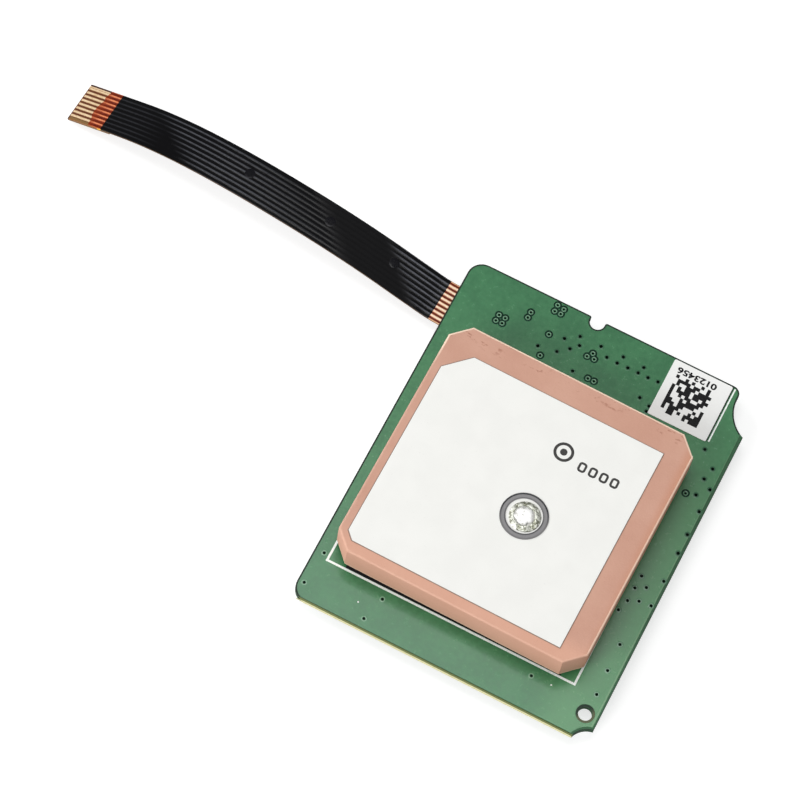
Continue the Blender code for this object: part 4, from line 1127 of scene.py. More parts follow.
# %% White ink lines
# How far above the board's face the ink starts, a hair above the copper
ON_SHEET = 0.019
INK_BASE = (BOARD_TOP + ON_SHEET) * MM
INK_HEIGHT = 0.012 * MM
SOFT_EDGE = 0.03 * MM
ANTENNA_MARK = (-0.945, -1.895)
MARK_SIDE = 25.1
LINE_WIDTH = 0.21
LABEL_LINE, LABEL_LINE_SIZE = (12.24, 15.62), (0.14, 5.95)
INK_DOTS = ((24.56, 3.42), (5.76, 2.22))
DOT_PROFILE = ((0.0, 0.03), (0.04, 0.028), (0.075, 0.018))


def add_plane(name, centre, width, length, height):
    """A flat rectangle, centre and size in millimetres."""
    bpy.ops.mesh.primitive_plane_add(size=1, location=(centre[0] * MM, centre[1] * MM, height))
    piece = name_fresh(name)
    piece.scale = (width * MM, length * MM, 1)
    settle(piece)
    return piece


mark = add_plane("antenna_mark", ANTENNA_MARK, MARK_SIDE, MARK_SIDE, INK_BASE)
open_up(mark)
bpy.ops.mesh.inset(thickness=LINE_WIDTH * MM, depth=0)
bpy.ops.mesh.delete(type="FACE")
close_up()
thicken(mark, INK_HEIGHT)
label_line = add_plane("label_line", LABEL_LINE, *LABEL_LINE_SIZE, INK_BASE)
thicken(label_line, INK_HEIGHT)
open_up(label_line)
bpy.ops.mesh.bevel(offset=SOFT_EDGE, segments=2)
close_up()
dots = turn("ink_dots", DOT_PROFILE, 16)
close_base(dots)
ink_dots = scatter("ink_dots", dots, from_corner(INK_DOTS), BOARD_TOP)
print("ink lines:", mark.name, label_line.name, "and", len(INK_DOTS), "dots")

# %% [markdown]
# Screen printing leaves slightly soft, speckled lines. The speckles are noise in the ink's colour,
# and in its gloss and relief too.

# %% White ink
white_ink = Finish("white_ink")
fade = white_ink.rise(white_ink.noise(0.12, 3), 0.3, 0.62)
white_ink.set("Base Color", white_ink.over(fade, paint(252, 255, 252), paint(234, 244, 238)))
white_ink.set("Roughness", 0.42 + fade * 0.2)
white_ink.bump(white_ink.noise(0.08, 2), 0.006)
for piece in (mark, label_line, ink_dots):
    dress(piece, white_ink)
print("ink dry")

# %% [markdown]
# The sticker is white polyester film. A thermal printer left a square field and a row of figures on
# it, upside down from where the camera stands. Both are plain stand-ins here: a field of scattered
# cells, which a fixed table of random numbers chooses, and the figures from nought to six.

# %% Sticker
LABEL_TOP = millimetres(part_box("label")[1].z)
PRINT_GAP = 0.002
PRINT_HEIGHT = 0.006 * MM
FIELD_CENTRE = (8.75, 15.33)
FIELD_SIZE = (3.85, 4.05)
FIELD_CELLS = 12
PRINTED_BELOW = 0.28

label_film = Finish("white_sticker")
pulp = label_film.noise(0.5, 3)
handled = label_film.rise(label_film.noise(1.6, 4), 0.55, 0.8)
white = label_film.over(handled * 0.35, paint(231, 233, 231), paint(244, 245, 243))
smudges = label_film.rise(label_film.noise(0.22, 2), 0.73, 0.78)
label_film.set("Base Color", label_film.over(smudges * 0.4, paint(196, 196, 198), white))
label_film.set("Roughness", 0.36 + pulp * 0.14)
label_film.bump(pulp, 0.004)
paint_nodes(["label"], label_film)

field = add_plane("print_field", FIELD_CENTRE, *FIELD_SIZE, (LABEL_TOP + PRINT_GAP) * MM)
open_up(field)
bpy.ops.mesh.subdivide(number_cuts=FIELD_CELLS - 1)
cell_width = FIELD_SIZE[0] * MM / FIELD_CELLS
cell_length = FIELD_SIZE[1] * MM / FIELD_CELLS
field_corner = [(FIELD_CENTRE[axis] - FIELD_SIZE[axis] / 2) * MM for axis in (0, 1)]


def stays_white(face):
    """Cells left unprinted: scattered ones, from a fixed table of random numbers."""
    place = middle_of(face)
    column = int((place.x - field_corner[0]) / cell_width)
    row = int((place.y - field_corner[1]) / cell_length)
    return noise.cell(Vector((column + 0.5, row + 0.5, 7.5))) > PRINTED_BELOW


pick(field, "faces", stays_white)
bpy.ops.mesh.delete(type="FACE")
bpy.ops.mesh.select_all(action="SELECT")
bpy.ops.mesh.edge_split(type="VERT")
close_up()
thicken(field, PRINT_HEIGHT)
print("cells printed:", len(field.data.polygons) // 6, "of", FIELD_CELLS**2)

# %% [markdown]
# Text becomes a mesh in one step, then it is scaled to the height and length of the row. Its
# strokes are widened a little, as a thermal printer's are.

# %% Figures
FIGURES_CENTRE = (8.65, 17.85)
FIGURE_HEIGHT, ROW_LENGTH = 0.66, 4.0
STROKE_WIDENING = 0.032


def add_figures(name, words, centre, height, length, turned):
    """A row of figures as a thin mesh: centre, height and length in millimetres."""
    bpy.ops.object.text_add()
    piece = name_fresh(name)
    piece.data.body = words
    piece.data.align_x = "CENTER"
    piece.data.align_y = "CENTER"
    piece.data.resolution_u = 4
    piece.data.offset = STROKE_WIDENING
    bpy.ops.object.convert(target="MESH")
    piece = name_fresh(name)
    size = piece.dimensions
    piece.scale = (length * MM / size.x, height * MM / size.y, 1)
    piece.rotation_euler = (0, 0, math.pi if turned else 0)
    piece.location = (centre[0] * MM, centre[1] * MM, (LABEL_TOP + PRINT_GAP) * MM)
    settle(piece)
    open_up(piece)
    bpy.ops.mesh.remove_doubles(threshold=0.0005 * MM)
    close_up()
    thicken(piece, PRINT_HEIGHT)
    return piece


figures = add_figures(
    "label_figures", "0123456", FIGURES_CENTRE, FIGURE_HEIGHT, ROW_LENGTH, turned=True
)
black_print = Finish("black_print", specular=0.2)
patchy = black_print.rise(black_print.noise(0.1, 3), 0.25, 0.6)
black_print.set("Base Color", black_print.over(patchy, paint(8, 8, 9), paint(34, 34, 36)))
black_print.set("Roughness", 0.45 + patchy * 0.15)
dress(field, black_print)
dress(figures, black_print)
print("sticker printed")

# %% [markdown]
# The antenna is a block of pressed and fired ceramic, 25 mm square, with its corners cut. Pressing
# leaves a fine seam low on the sides, firing leaves the arrises slightly soft, and handling marks
# the pink top with faint rubs. The block starts as a cube whose upright edges are bevelled.

# %% Ceramic block
PATCH_CENTRE = (-0.8, -1.81)
PATCH_TURN = math.radians(-0.7)
PATCH_SIDE = 25.0
PATCH_BASE = 2.91
PATCH_HEIGHT = 3.5
PATCH_CHAMFER = 1.7
FEED_HOLE = 0.55
FEED_OFFSET = (1.57, -1.81)


def on_patch(piece):
    """Turn a piece that was made round the antenna's middle into its place on the board."""
    piece.rotation_euler = (0, 0, PATCH_TURN)
    piece.location = (PATCH_CENTRE[0] * MM, PATCH_CENTRE[1] * MM, 0)
    settle(piece)


bpy.ops.mesh.primitive_cube_add(size=PATCH_SIDE * MM)
block = name_fresh("ceramic_block")
block.scale = (1, 1, PATCH_HEIGHT / PATCH_SIDE)
block.location = (0, 0, (PATCH_BASE + PATCH_HEIGHT / 2) * MM)
settle(block)
half_side = PATCH_SIDE / 2 * MM
top_of_block = (PATCH_BASE + PATCH_HEIGHT) * MM
foot_of_block = PATCH_BASE * MM
open_up(block)
pick(block, "edges", lambda edge: abs(edge.verts[0].co.z - edge.verts[1].co.z) > 1 * MM)
bpy.ops.mesh.bevel(offset=PATCH_CHAMFER * MM, segments=1)
close_up()
widest = max(vert.co.x for vert in block.data.vertices)
print("block half side", round(widest / MM, 3), "mm, with", len(block.data.vertices), "corners")

# %% [markdown]
# The top arris is narrow and round, the bottom one wider and flat. Level cuts low on the sides
# make the seam, whose vertices are pulled out a hair. An inset draws a second line just inside the
# top arris, so that the finish can let the painted highlight on the edge fade inwards.

# %% Arrises and seam
TOP_ARRIS = 0.14
BOTTOM_ARRIS = 0.3
SEAM_HEIGHT = 0.38
SEAM_REACH = 0.06
SEAM_RIDGE = 0.02 * MM
HIGHLIGHT_FADE = 0.07


def level_edges(height):
    """A test for the edges that lie level at this height."""
    return lambda edge: all(abs(vert.co.z - height) < 0.001 * MM for vert in edge.verts)


open_up(block)
pick(block, "edges", level_edges(top_of_block))
bpy.ops.mesh.bevel(offset=TOP_ARRIS * MM, segments=3)
pick(block, "edges", level_edges(foot_of_block))
bpy.ops.mesh.bevel(offset=BOTTOM_ARRIS * MM, segments=2)
pick(block, "faces", lambda face: face.normal.z > 0.999)
bpy.ops.mesh.inset(thickness=HIGHLIGHT_FADE * MM, depth=0)
for height in (SEAM_HEIGHT - SEAM_REACH, SEAM_HEIGHT, SEAM_HEIGHT + SEAM_REACH):
    bpy.ops.mesh.select_all(action="SELECT")
    cut_at = (0, 0, foot_of_block + height * MM)
    bpy.ops.mesh.bisect(plane_co=cut_at, plane_no=(0, 0, 1))
close_up()
for vert in block.data.vertices:
    outward = Vector((vert.co.x, vert.co.y, 0)).normalized()
    above_foot = (vert.co.z - foot_of_block) / MM
    on_side = max(abs(vert.co.x), abs(vert.co.y)) > half_side - 2 * PATCH_CHAMFER * MM
    if on_side and abs(above_foot - SEAM_HEIGHT) < 0.01 and vert.co.xy.length > half_side * 0.98:
        vert.co += outward * SEAM_RIDGE
print("block shaped:", len(block.data.polygons), "faces")

# %% [markdown]
# The feed pin passes through a hole in the block. After the drilling, each point of the top arris
# is marked on the mesh, so that the finish can paint a highlight on it.

# %% Feed hole
bpy.ops.mesh.primitive_cylinder_add(
    vertices=32,
    radius=FEED_HOLE * MM,
    depth=2 * PATCH_HEIGHT * MM,
    location=(FEED_OFFSET[0] * MM, FEED_OFFSET[1] * MM, top_of_block),
)
cut_away(block, name_fresh("feed_drill"))
arris_highlight = block.data.attributes.new("arris_highlight", "FLOAT", "POINT")
corner_reach = 2 * half_side - PATCH_CHAMFER * MM
for vert in block.data.vertices:
    to_side = half_side - max(abs(vert.co.x), abs(vert.co.y))
    to_corner = (corner_reach - abs(vert.co.x) - abs(vert.co.y)) / math.sqrt(2)
    outside = min(to_side, to_corner) < (TOP_ARRIS + 0.5 * HIGHLIGHT_FADE) * MM
    on_arris = vert.co.z > top_of_block - 0.9 * TOP_ARRIS * MM
    arris_highlight.data[vert.index].value = float(outside and on_arris)
on_patch(block)
smooth(block, 28)
highlight_points = sum(1 for point in arris_highlight.data if point.value)
print("points on the rubbed arris:", highlight_points)

# %% [markdown]
# The colour is a warm pink clay tone with fine grain. Painted light makes it paler towards the
# front and painted shade deeper along the right edge. The arrises carry a painted highlight, most
# of all along the far and right edges, the seam's pale line is a painted highlight on a real ridge,
# and a few brown scuffs lie near the far edge.

# %% Clay finish
clay = Finish("pink_ceramic", specular=0.3)
grain = clay.noise(0.07, 4)
firing = clay.noise(5.0, 3, roughness=0.55)
tone = clay.over(clay.rise(firing, 0.3, 0.7), paint(206, 160, 140), paint(199, 151, 131))
# Painted light towards the front of the block.
front_light = 1.0 - clay.rise(clay.y, -13.6, -11.4)
tone = clay.over(front_light * 0.5, paint(230, 176, 150), tone)
# Painted shade along the right edge and the right side.
right_shade = clay.rise(clay.x + clay.y * 0.012, 10.7, 11.9)
tone = clay.over(right_shade * 0.7, paint(197, 136, 107), tone)
tone = clay.over(clay.rise(grain, 0.5, 0.8) * 0.25, paint(222, 180, 162), tone)
tone = clay.over(clay.rise(clay.noise(0.1, 1), 0.68, 0.74) * 0.3, paint(176, 124, 104), tone)
rub_grain = clay.noise(0.6, 4, clay.stretched(0.6, 1.4, 1.0), 0.65)
far_side = clay.rise(clay.y, 8.8, 10.0)
rubs = clay.rise(rub_grain, 0.58, 0.66) * clay.rise(clay.noise(2.4, 2), 0.44, 0.56) * far_side
tone = clay.over(rubs * 0.7, paint(160, 104, 84), tone)
# The pale arris is a painted highlight, strongest along the far and right edges.
right_edge = clay.rise(clay.x, 7.5, 9.5) * clay.rise(clay.y, -13.2, -12.2)
far_edge = clay.rise(clay.y, 5.0, 9.0)
strong = right_edge.math("MAXIMUM", right_edge * 0.75, far_edge)
highlight_strength = clay.kept("arris_highlight") * (strong * 0.78 + 0.1)
tone = clay.over(highlight_strength, paint(255, 228, 204), tone)
# The seam is a real ridge; its pale line is a painted highlight.
from_seam = clay.z - (PATCH_BASE + SEAM_HEIGHT)
seam = 1.0 - clay.rise(from_seam.math("ABSOLUTE", from_seam), 0.03, 0.08)
tone = clay.over(seam * 0.6, paint(248, 214, 188), tone)
clay.set("Base Color", tone)
clay.set("Roughness", 0.55 + grain * 0.2)
clay.bump(grain * 0.6 + clay.noise(0.3, 3), 0.02, 0.7)
dress(block, clay, ["patch_ceramic"])
print("clay finish on", block.name)

# %% [markdown]
# The white square on top is silver paste, printed and fired. It looks like matt white paint with
# faint flecks, and its cut sides are grey. The silver under the block has the same finish.

# %% Fired silver
ELECTRODE_TOP = millimetres(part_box("patch_electrode")[1].z)
silver = Finish("fired_silver_paste", specular=0.4)
fired = silver.noise(0.09, 4)
cloud = silver.noise(3.0, 3)
paste = silver.over(silver.rise(cloud, 0.3, 0.7), paint(240, 240, 236), paint(237, 237, 233))
flecks = silver.rise(silver.noise(0.16, 1), 0.74, 0.79)
paste = silver.over(flecks * 0.3, paint(214, 214, 210), paste)
side = 1.0 - silver.rise(silver.z, ELECTRODE_TOP - 0.02, ELECTRODE_TOP - 0.004)
silver.set("Base Color", silver.over(side * 0.8, paint(150, 148, 142), paste))
silver.set("Roughness", 0.42 + fired * 0.2)
silver.bump(fired + cloud * 0.6, 0.01, 0.6)
paint_nodes(["patch_electrode", "patch_ground_plate"], silver)
print("silver top at", ELECTRODE_TOP, "mm")

# %% [markdown]
# Round the square the paste feathers out into the clay as a thin brown line. It is a copy of the
# square's own underside, grown a little. An inset cuts it down to a band, and what is left of the
# feed hole's outline goes too.

# %% Soft paste edge
EDGE_BLEED = 0.07
PASTE_DROP = 0.018 * MM
PASTE_HEIGHT = 0.024 * MM
WELL_INSIDE = 5 * MM
electrode_middle = Vector((PATCH_CENTRE[0] * MM, PATCH_CENTRE[1] * MM, 0))


def near_middle(face):
    """Whether a face lies well inside the square."""
    return (middle_of(face) - electrode_middle).xy.length < WELL_INSIDE


paste_edge = bpy.data.objects.new("paste_edge", NODES["patch_electrode"].data.copy())
bpy.context.scene.collection.objects.link(paste_edge)
paste_edge.data.name = "paste_edge"
open_up(paste_edge)
bpy.ops.mesh.remove_doubles(threshold=0.0005 * MM)
pick(paste_edge, "faces", lambda face: face.normal.z > -0.9)
bpy.ops.mesh.delete(type="FACE")
bpy.ops.mesh.select_all(action="SELECT")
grown = 1 + 2 * EDGE_BLEED * MM / paste_edge.dimensions.x
bpy.ops.transform.resize(value=(grown, grown, 1), center_override=electrode_middle)
bpy.ops.mesh.inset(thickness=1.5 * EDGE_BLEED * MM, depth=0)
bpy.ops.mesh.delete(type="FACE")
pick(paste_edge, "faces", near_middle)
bpy.ops.mesh.delete(type="FACE")
close_up()
paste_edge.location.z = -PASTE_DROP
settle(paste_edge)
thicken(paste_edge, PASTE_HEIGHT)
bleed = Finish("silver_bleed", roughness=0.6)
bleed_grain = bleed.noise(0.12, 3)
bleed.set("Base Color", bleed.over(bleed_grain, paint(150, 124, 110), paint(118, 96, 84)))
bleed.bump(bleed_grain, 0.01)
dress(paste_edge, bleed)
print("paste edge:", len(paste_edge.data.polygons), "faces")

# %% [markdown]
# The silver carries a small plain mark in grey print: a ring with a dot in it, then four noughts.
# The ring and its dot are one disc, inset twice, from which the faces between them are taken.

# %% Ring and dot
MARK_HEIGHT = (ELECTRODE_TOP + PRINT_GAP) * MM
RING_CENTRE = (1.2, 3.65)
RING_RADIUS = 0.95
DOT_RADIUS = 0.34
STROKE = 0.27
ring_middle = Vector((RING_CENTRE[0] * MM, RING_CENTRE[1] * MM, MARK_HEIGHT))
gap_reach = (RING_RADIUS - STROKE) * MM


def between_ring_and_dot(face):
    """Whether a face lies in the gap: the dot's own face has its middle in the ring's middle."""
    return 0.1 * MM < (middle_of(face) - ring_middle).length < gap_reach


bpy.ops.mesh.primitive_circle_add(
    vertices=40, radius=RING_RADIUS * MM, fill_type="NGON", location=ring_middle
)
mark_ring = name_fresh("electrode_ring")
settle(mark_ring)
open_up(mark_ring)
bpy.ops.mesh.inset(thickness=STROKE * MM, depth=0)
bpy.ops.mesh.inset(thickness=(RING_RADIUS - STROKE - DOT_RADIUS) * MM, depth=0)
pick(mark_ring, "faces", between_ring_and_dot)
bpy.ops.mesh.delete(type="FACE")
close_up()
print("ring and dot:", len(mark_ring.data.polygons), "faces")

# %% [markdown]
# A nought is a rectangle with rounded corners, and an inset leaves its outline as the stroke.

# %% Noughts
NOUGHTS = 4
NOUGHT_SIZE = (0.8, 1.0)
NOUGHT_CORNER = 0.3 * MM
NOUGHT_STROKE = STROKE * 0.8 * MM
NOUGHT_PITCH = 1.08
FIRST_NOUGHT = (3.33, 3.1)
noughts = []
for i in range(NOUGHTS):
    centre = (FIRST_NOUGHT[0] + i * NOUGHT_PITCH, FIRST_NOUGHT[1])
    noughts.append(add_plane("electrode_nought", centre, *NOUGHT_SIZE, MARK_HEIGHT))
    open_up(noughts[-1])
    bpy.ops.mesh.bevel(offset=NOUGHT_CORNER, segments=5, affect="VERTICES")
    bpy.ops.mesh.select_all(action="SELECT")
    bpy.ops.mesh.inset(thickness=NOUGHT_STROKE, depth=0)
    bpy.ops.mesh.delete(type="FACE")
    close_up()
electrode_mark = join("electrode_mark", [mark_ring, *noughts])
thicken(electrode_mark, PRINT_HEIGHT)
grey_print = Finish("grey_print")
thin = grey_print.rise(grey_print.noise(0.1, 3), 0.3, 0.65)
grey_print.set("Base Color", grey_print.over(thin, paint(26, 25, 24), paint(58, 56, 52)))
dress(electrode_mark, grey_print)
print("mark printed:", len(electrode_mark.data.polygons), "faces")

# %% [markdown]
# A printed grey ring keeps the solder in. Inside it the tinned pin head stands in a collar of hand
# laid solder, lumpy and full of small reflections. All three are turned from profiles.

# %% Ring, solder and pin head
SEAT = ELECTRODE_TOP + 0.02
RING_PROFILE = (
    (1.7, 0.0), (1.7, 0.028), (1.76, 0.034), (1.86, 0.02), (2.1, 0.02), (2.2, 0.032),
    (2.25, 0.026), (2.25, 0.0),
)
SOLDER_PROFILE = (
    (0.97, 0.0), (0.97, 0.12), (1.0, 0.15), (1.05, 0.155), (1.15, 0.14), (1.25, 0.11), (1.35, 0.08),
    (1.43, 0.05), (1.48, 0.0),
)
PIN_PROFILE = (
    (0.0, 0.235), (0.2, 0.235), (0.4, 0.23), (0.6, 0.225), (0.75, 0.21), (0.87, 0.17), (0.93, 0.1),
    (0.94, 0.0), (0.4, 0.0), (0.4, -5.3), (0.36, -5.44), (0.2, -5.5), (0.0, -5.5),
)


def on_feed(piece):
    """Move a turned piece from the middle to the feed and onto the board."""
    piece.location = (FEED_OFFSET[0] * MM, FEED_OFFSET[1] * MM, SEAT * MM)
    settle(piece)
    on_patch(piece)


ring = turn("dam_ring", RING_PROFILE, 64)
keep_radius(ring)
solder = turn("feed_solder", SOLDER_PROFILE, 64)
pin = turn("turned_pin", PIN_PROFILE, 48)
print("turned:", ring.name, solder.name, pin.name)

# %% [markdown]
# Solder is laid by hand, so it is never quite round. Noise moves the points of the solder and the
# pin up and down, a sum of two waves takes the perfect circle from the pin's edge, and the
# solder's foot is pushed a little to one side. Then all three move onto the antenna.

# %% Hand-laid solder
SOLDER_SHIFT = (0.1, -0.03)
for piece, lumps, depth in ((solder, 1.9, 0.05), (pin, 1.3, 0.014)):
    open_up(piece)
    bpy.ops.mesh.subdivide(number_cuts=1)
    close_up()
    for vert in piece.data.vertices:
        if vert.co.z > 0.01 * MM:
            place = vert.co / MM
            vert.co.z += noise.noise(place * lumps) * depth * MM
            vert.co.z += noise.noise(place * lumps * 2.2) * depth * 0.4 * MM
for vert in pin.data.vertices:
    if vert.co.z > -0.01 * MM:
        angle = math.atan2(vert.co.y, vert.co.x)
        facet = 0.05 * math.cos(5 * angle + 0.6) + 0.035 * math.cos(8 * angle + 2.0) - 0.06
        vert.co.xy *= 1.0 + facet * min(1.0, vert.co.xy.length / (0.7 * MM))
for vert in solder.data.vertices:
    beyond_pin = max(0.0, vert.co.xy.length / MM - 1.0) / 0.4
    vert.co.xy += Vector(SOLDER_SHIFT) * MM * min(1.0, beyond_pin)
for piece in (ring, solder, pin):
    on_feed(piece)
    smooth(piece, 50)
print("feed turned:", len(solder.data.polygons), "faces of solder")

# %% [markdown]
# The grey ring is matt ink with a painted shade line along both rims, the outer strongest in the
# far half, the inner in the near one. A point's distance from the ring's middle is kept on the
# mesh.

# %% Ring ink
ring_ink = Finish("grey_ring_ink")
fine = ring_ink.noise(0.08, 3)
radius = ring_ink.kept("from_middle")
far_half = ring_ink.rise(ring_ink.y - ring_ink.x * 0.3, -5.2, -2.6)
# Painted shade along both rims, the outer line in the far half, the inner one in the near half.
outer_shade = ring_ink.rise(radius, 2.06, 2.12) * (far_half * 0.7 + 0.3)
inner_shade = (1.0 - ring_ink.rise(radius, 1.78, 1.86)) * (1.0 - far_half * 0.5)
ink = ring_ink.over(fine, paint(142, 141, 142), paint(122, 121, 122))
ink = ring_ink.over(inner_shade, paint(62, 62, 66), ink)
ring_ink.set("Base Color", ring_ink.over(outer_shade, paint(40, 40, 44), ink))
ring_ink.set("Roughness", 0.48 + fine * 0.2)
ring_ink.bump(fine, 0.008)
dress(ring, ring_ink, ["solder_dam_ring"])
print("ring inked")

# %% [markdown]
# Solder is a mirror-like metal under a skin of greenish flux, and the pin head is brighter tin. A
# metal is only as bright as what it mirrors, so part of the look comes from the lights set later.

# %% Solder and tin
flux = Finish("fluxed_solder", metallic=0.6)
crumbs = flux.noise(0.36, 3, roughness=0.55)
film = flux.rise(crumbs, 0.4, 0.58)
flux.set("Base Color", flux.over(film, paint(226, 228, 218), paint(138, 140, 122)))
flux.set("Roughness", 0.2 + film * 0.2)
flux.bump(crumbs + flux.noise(0.14, 2) * 0.3, 0.07)
dress(solder, flux, ["feed_solder_top"])

tin = Finish("bright_tin", metallic=0.3)
dimples = tin.noise(0.3, 4)
pale_tin = tin.rise(dimples, 0.36, 0.5)
tin.set("Base Color", tin.over(pale_tin, paint(248, 248, 246), paint(196, 196, 190)))
tin.set("Roughness", 0.3 + dimples * 0.2)
tin.bump(dimples, 0.03)
dress(pin, tin, ["feed_pin"])

dull = Finish("dull_solder", metallic=0.9)
skin = dull.noise(0.2, 4)
dull.set("Base Color", dull.over(skin, paint(196, 196, 192), paint(150, 150, 146)))
dull.set("Roughness", 0.25 + skin * 0.3)
dull.bump(skin, 0.03)
joints = [f"flex_joint_{way + 1}" for way in range(WAYS)]
paint_nodes(["feed_solder_bottom", *joints], dull)
print("metals dressed")

# %% [markdown]
# Double-sided foam tape holds the antenna, a black layer that shows as a dark gap. Along the front
# lies a narrow black strip with rounded edges, a dark sheet that stands for the shade under the
# block.

# %% Foam tape
SHADE_STRIP_CENTRE, SHADE_STRIP_SIZE = (-0.8, -13.96), (21.6, 0.5)
SHADE_STRIP_HEIGHT = 0.04 * MM
SHADE_STRIP_ROUNDING = 0.015 * MM
foam = Finish("black_foam_tape", roughness=0.95, specular=0.2)
cells_of_foam = foam.node("ShaderNodeTexVoronoi", values={"Vector": foam.place, "Scale": 8.0})
open_cells = foam.rise(cells_of_foam, 0.1, 0.5)
foam.set("Base Color", foam.over(open_cells, paint(34, 34, 36), paint(12, 12, 13)))
foam.bump(cells_of_foam, 0.05)
paint_nodes(["adhesive_tape"], foam)
# A black strip under the block's front edge, put there for the shade.
shade_strip = add_plane("shade_strip", SHADE_STRIP_CENTRE, *SHADE_STRIP_SIZE, INK_BASE)
thicken(shade_strip, SHADE_STRIP_HEIGHT)
open_up(shade_strip)
bpy.ops.mesh.bevel(offset=SHADE_STRIP_ROUNDING, segments=2)
close_up()
dress(shade_strip, foam)
print("tape dressed")

# %% [markdown]
# Where the board was snapped from its panel, a few torn glass fibres stand out of the edge. Each is
# a small ball, squeezed and roughened, and sits on the edge where the photograph has one.

# %% Torn fibres
FIBRES = ((-14.0, 0.5), (-9.1, 0.3), (-4.3, 0.35), (2.2, 0.3), (8.1, 0.5), (8.7, 0.28))
tufts = []
for number, (x, width) in enumerate(FIBRES):
    centre = (x * MM, (BOARD_BOTTOM + 0.05) * MM, (BOARD_TOP + BOARD_UNDERSIDE) / 2 * MM)
    bpy.ops.mesh.primitive_ico_sphere_add(subdivisions=3, radius=0.1 * MM, location=centre)
    tuft = name_fresh("torn_fibre")
    tuft.scale = (width / 0.2, 0.55, 0.9)
    settle(tuft)
    for vert in tuft.data.vertices:
        push = noise.noise(vert.co / MM * 9 + Vector((number, 0, 0)))
        vert.co.z += push * 0.03 * MM
        vert.co.y = max(BOARD_BOTTOM * MM, vert.co.y + abs(push) * 0.03 * MM)
    tufts.append(tuft)
fibres = join("torn_fibres", tufts)
raw_glass = Finish("torn_glass_cloth", roughness=0.8, specular=0.3)
strands = raw_glass.noise(0.05, 3, raw_glass.stretched(1, 1, 4))
raw_glass.set("Base Color", raw_glass.over(strands, paint(232, 230, 188), paint(170, 166, 110)))
raw_glass.bump(strands, 0.02)
smooth(fibres, 60)
dress(fibres, raw_glass)
print("fibres:", len(FIBRES))

# %% [markdown]
# The shield is tinned steel sheet, folded and slit. Rolling leaves fine straight lines, and tin
# grows cloudy patches with a few stains. The cover is a little brighter than the frame inside it.

# %% Tinned shield
def rolled_tin(name, light, dark):
    """Tin with rolling lines along the sheet, and its patches and stains."""
    finish = Finish(name, metallic=1.0)
    lines = finish.noise(0.05, 3, finish.stretched(0.02, 1.0, 1.0))
    patches = finish.noise(1.8, 4, roughness=0.65)
    colour = finish.over(finish.rise(patches, 0.35, 0.7), light, dark)
    stains = finish.rise(finish.noise(0.9, 4), 0.66, 0.74)
    colour = finish.over(stains * 0.15, paint(150, 146, 138), colour)
    finish.set("Base Color", colour)
    finish.set("Roughness", 0.24 + patches * 0.07 + lines * 0.12)
    finish.bump(lines * 0.5 + patches * 0.35, 0.006)
    return finish


cover_tin = rolled_tin("tinned_cover", paint(212, 211, 206), paint(190, 189, 184))
frame_tin = rolled_tin("tinned_frame", paint(200, 199, 195), paint(176, 175, 171))
paint_nodes(["shield_cover"], cover_tin)
paint_nodes(["shield_frame"], frame_tin)
print("shield tinned")

# %% [markdown]
# The frame stands on feet that are soldered to the board, so each foot gets a small fillet. It is
# a cube set against the foot and the board, with the edge that faces away from both bevelled off.

# %% Solder at the shield's feet
SHIELD_CENTRE = (0.325, -2.2)
FRAME_HALF = (10.94, 12.04)
FOOT_PITCH = 3.2
FOOT_LENGTH = 1.6
COVER_OVER_FRAME = 0.52
FILLET = 0.16
FILLET_GAP = 0.02


def foot_places():
    """The middle of every foot of the frame, and which way it faces."""
    places = []
    for axis in (0, 1):
        along = 2 * FRAME_HALF[1 - axis]
        gaps = int((along + COVER_OVER_FRAME - 2 * FOOT_PITCH) / FOOT_PITCH) + 1
        for i in range(gaps - 1):
            offset = (i - (gaps - 2) / 2) * FOOT_PITCH
            for side in (-1, 1):
                spot = [offset, offset]
                spot[axis] = side * FRAME_HALF[axis]
                places.append((spot, axis, side))
    return places


fillets = []
fillet_height = (BOARD_UNDERSIDE - FILLET / 2 - FILLET_GAP) * MM
for spot, axis, side in foot_places():
    bpy.ops.mesh.primitive_cube_add(size=1)
    fillet = name_fresh("foot_solder")
    out = side * FILLET / 2
    size = [FOOT_LENGTH * 0.8, FOOT_LENGTH * 0.8, FILLET]
    size[axis] = FILLET
    centre = [SHIELD_CENTRE[0] + spot[0], SHIELD_CENTRE[1] + spot[1]]
    centre[axis] += out
    fillet.scale = Vector(size) * MM
    fillet.location = (centre[0] * MM, centre[1] * MM, fillet_height)
    settle(fillet)
    low = min(vert.co.z for vert in fillet.data.vertices)
    outer = max(side * vert.co[axis] for vert in fillet.data.vertices)
    open_up(fillet)

    def outer_low_edge(edge):
        return all(
            abs(vert.co.z - low) < 0.001 * MM and abs(side * vert.co[axis] - outer) < 0.001 * MM
            for vert in edge.verts
        )

    pick(fillet, "edges", outer_low_edge)
    bpy.ops.mesh.bevel(offset=FILLET * 0.85 * MM, segments=4, profile=0.3)
    close_up()
    fillets.append(fillet)
foot_solder = join("foot_solder", fillets)
smooth(foot_solder, 40)
dress(foot_solder, dull)
print("fillets:", len(fillets))

# %% [markdown]
# The cable's ways end on eight gold pads under the board, each a rounded flat under its joint.

# %% Cable pads
PAD_SIZE = (1.15, 0.34)
PAD_MIDDLE = -11.75
PAD_HEIGHT = 0.008 * MM
PAD_CORNER = 0.08 * MM
pads = []
for way in range(WAYS):
    y = FLEX_MIDDLE / MM + (way - (WAYS - 1) / 2) * WAY_PITCH / MM
    pad = add_plane("cable_pad", (PAD_MIDDLE, y), *PAD_SIZE, (BOARD_UNDERSIDE - ON_SHEET) * MM)
    open_up(pad)
    bpy.ops.mesh.bevel(offset=PAD_CORNER, segments=3, affect="VERTICES")
    close_up()
    thicken(pad, PAD_HEIGHT)
    pads.append(pad)
cable_pads = join("cable_pads", pads)
dress(cable_pads, gold)
print("pads:", WAYS)

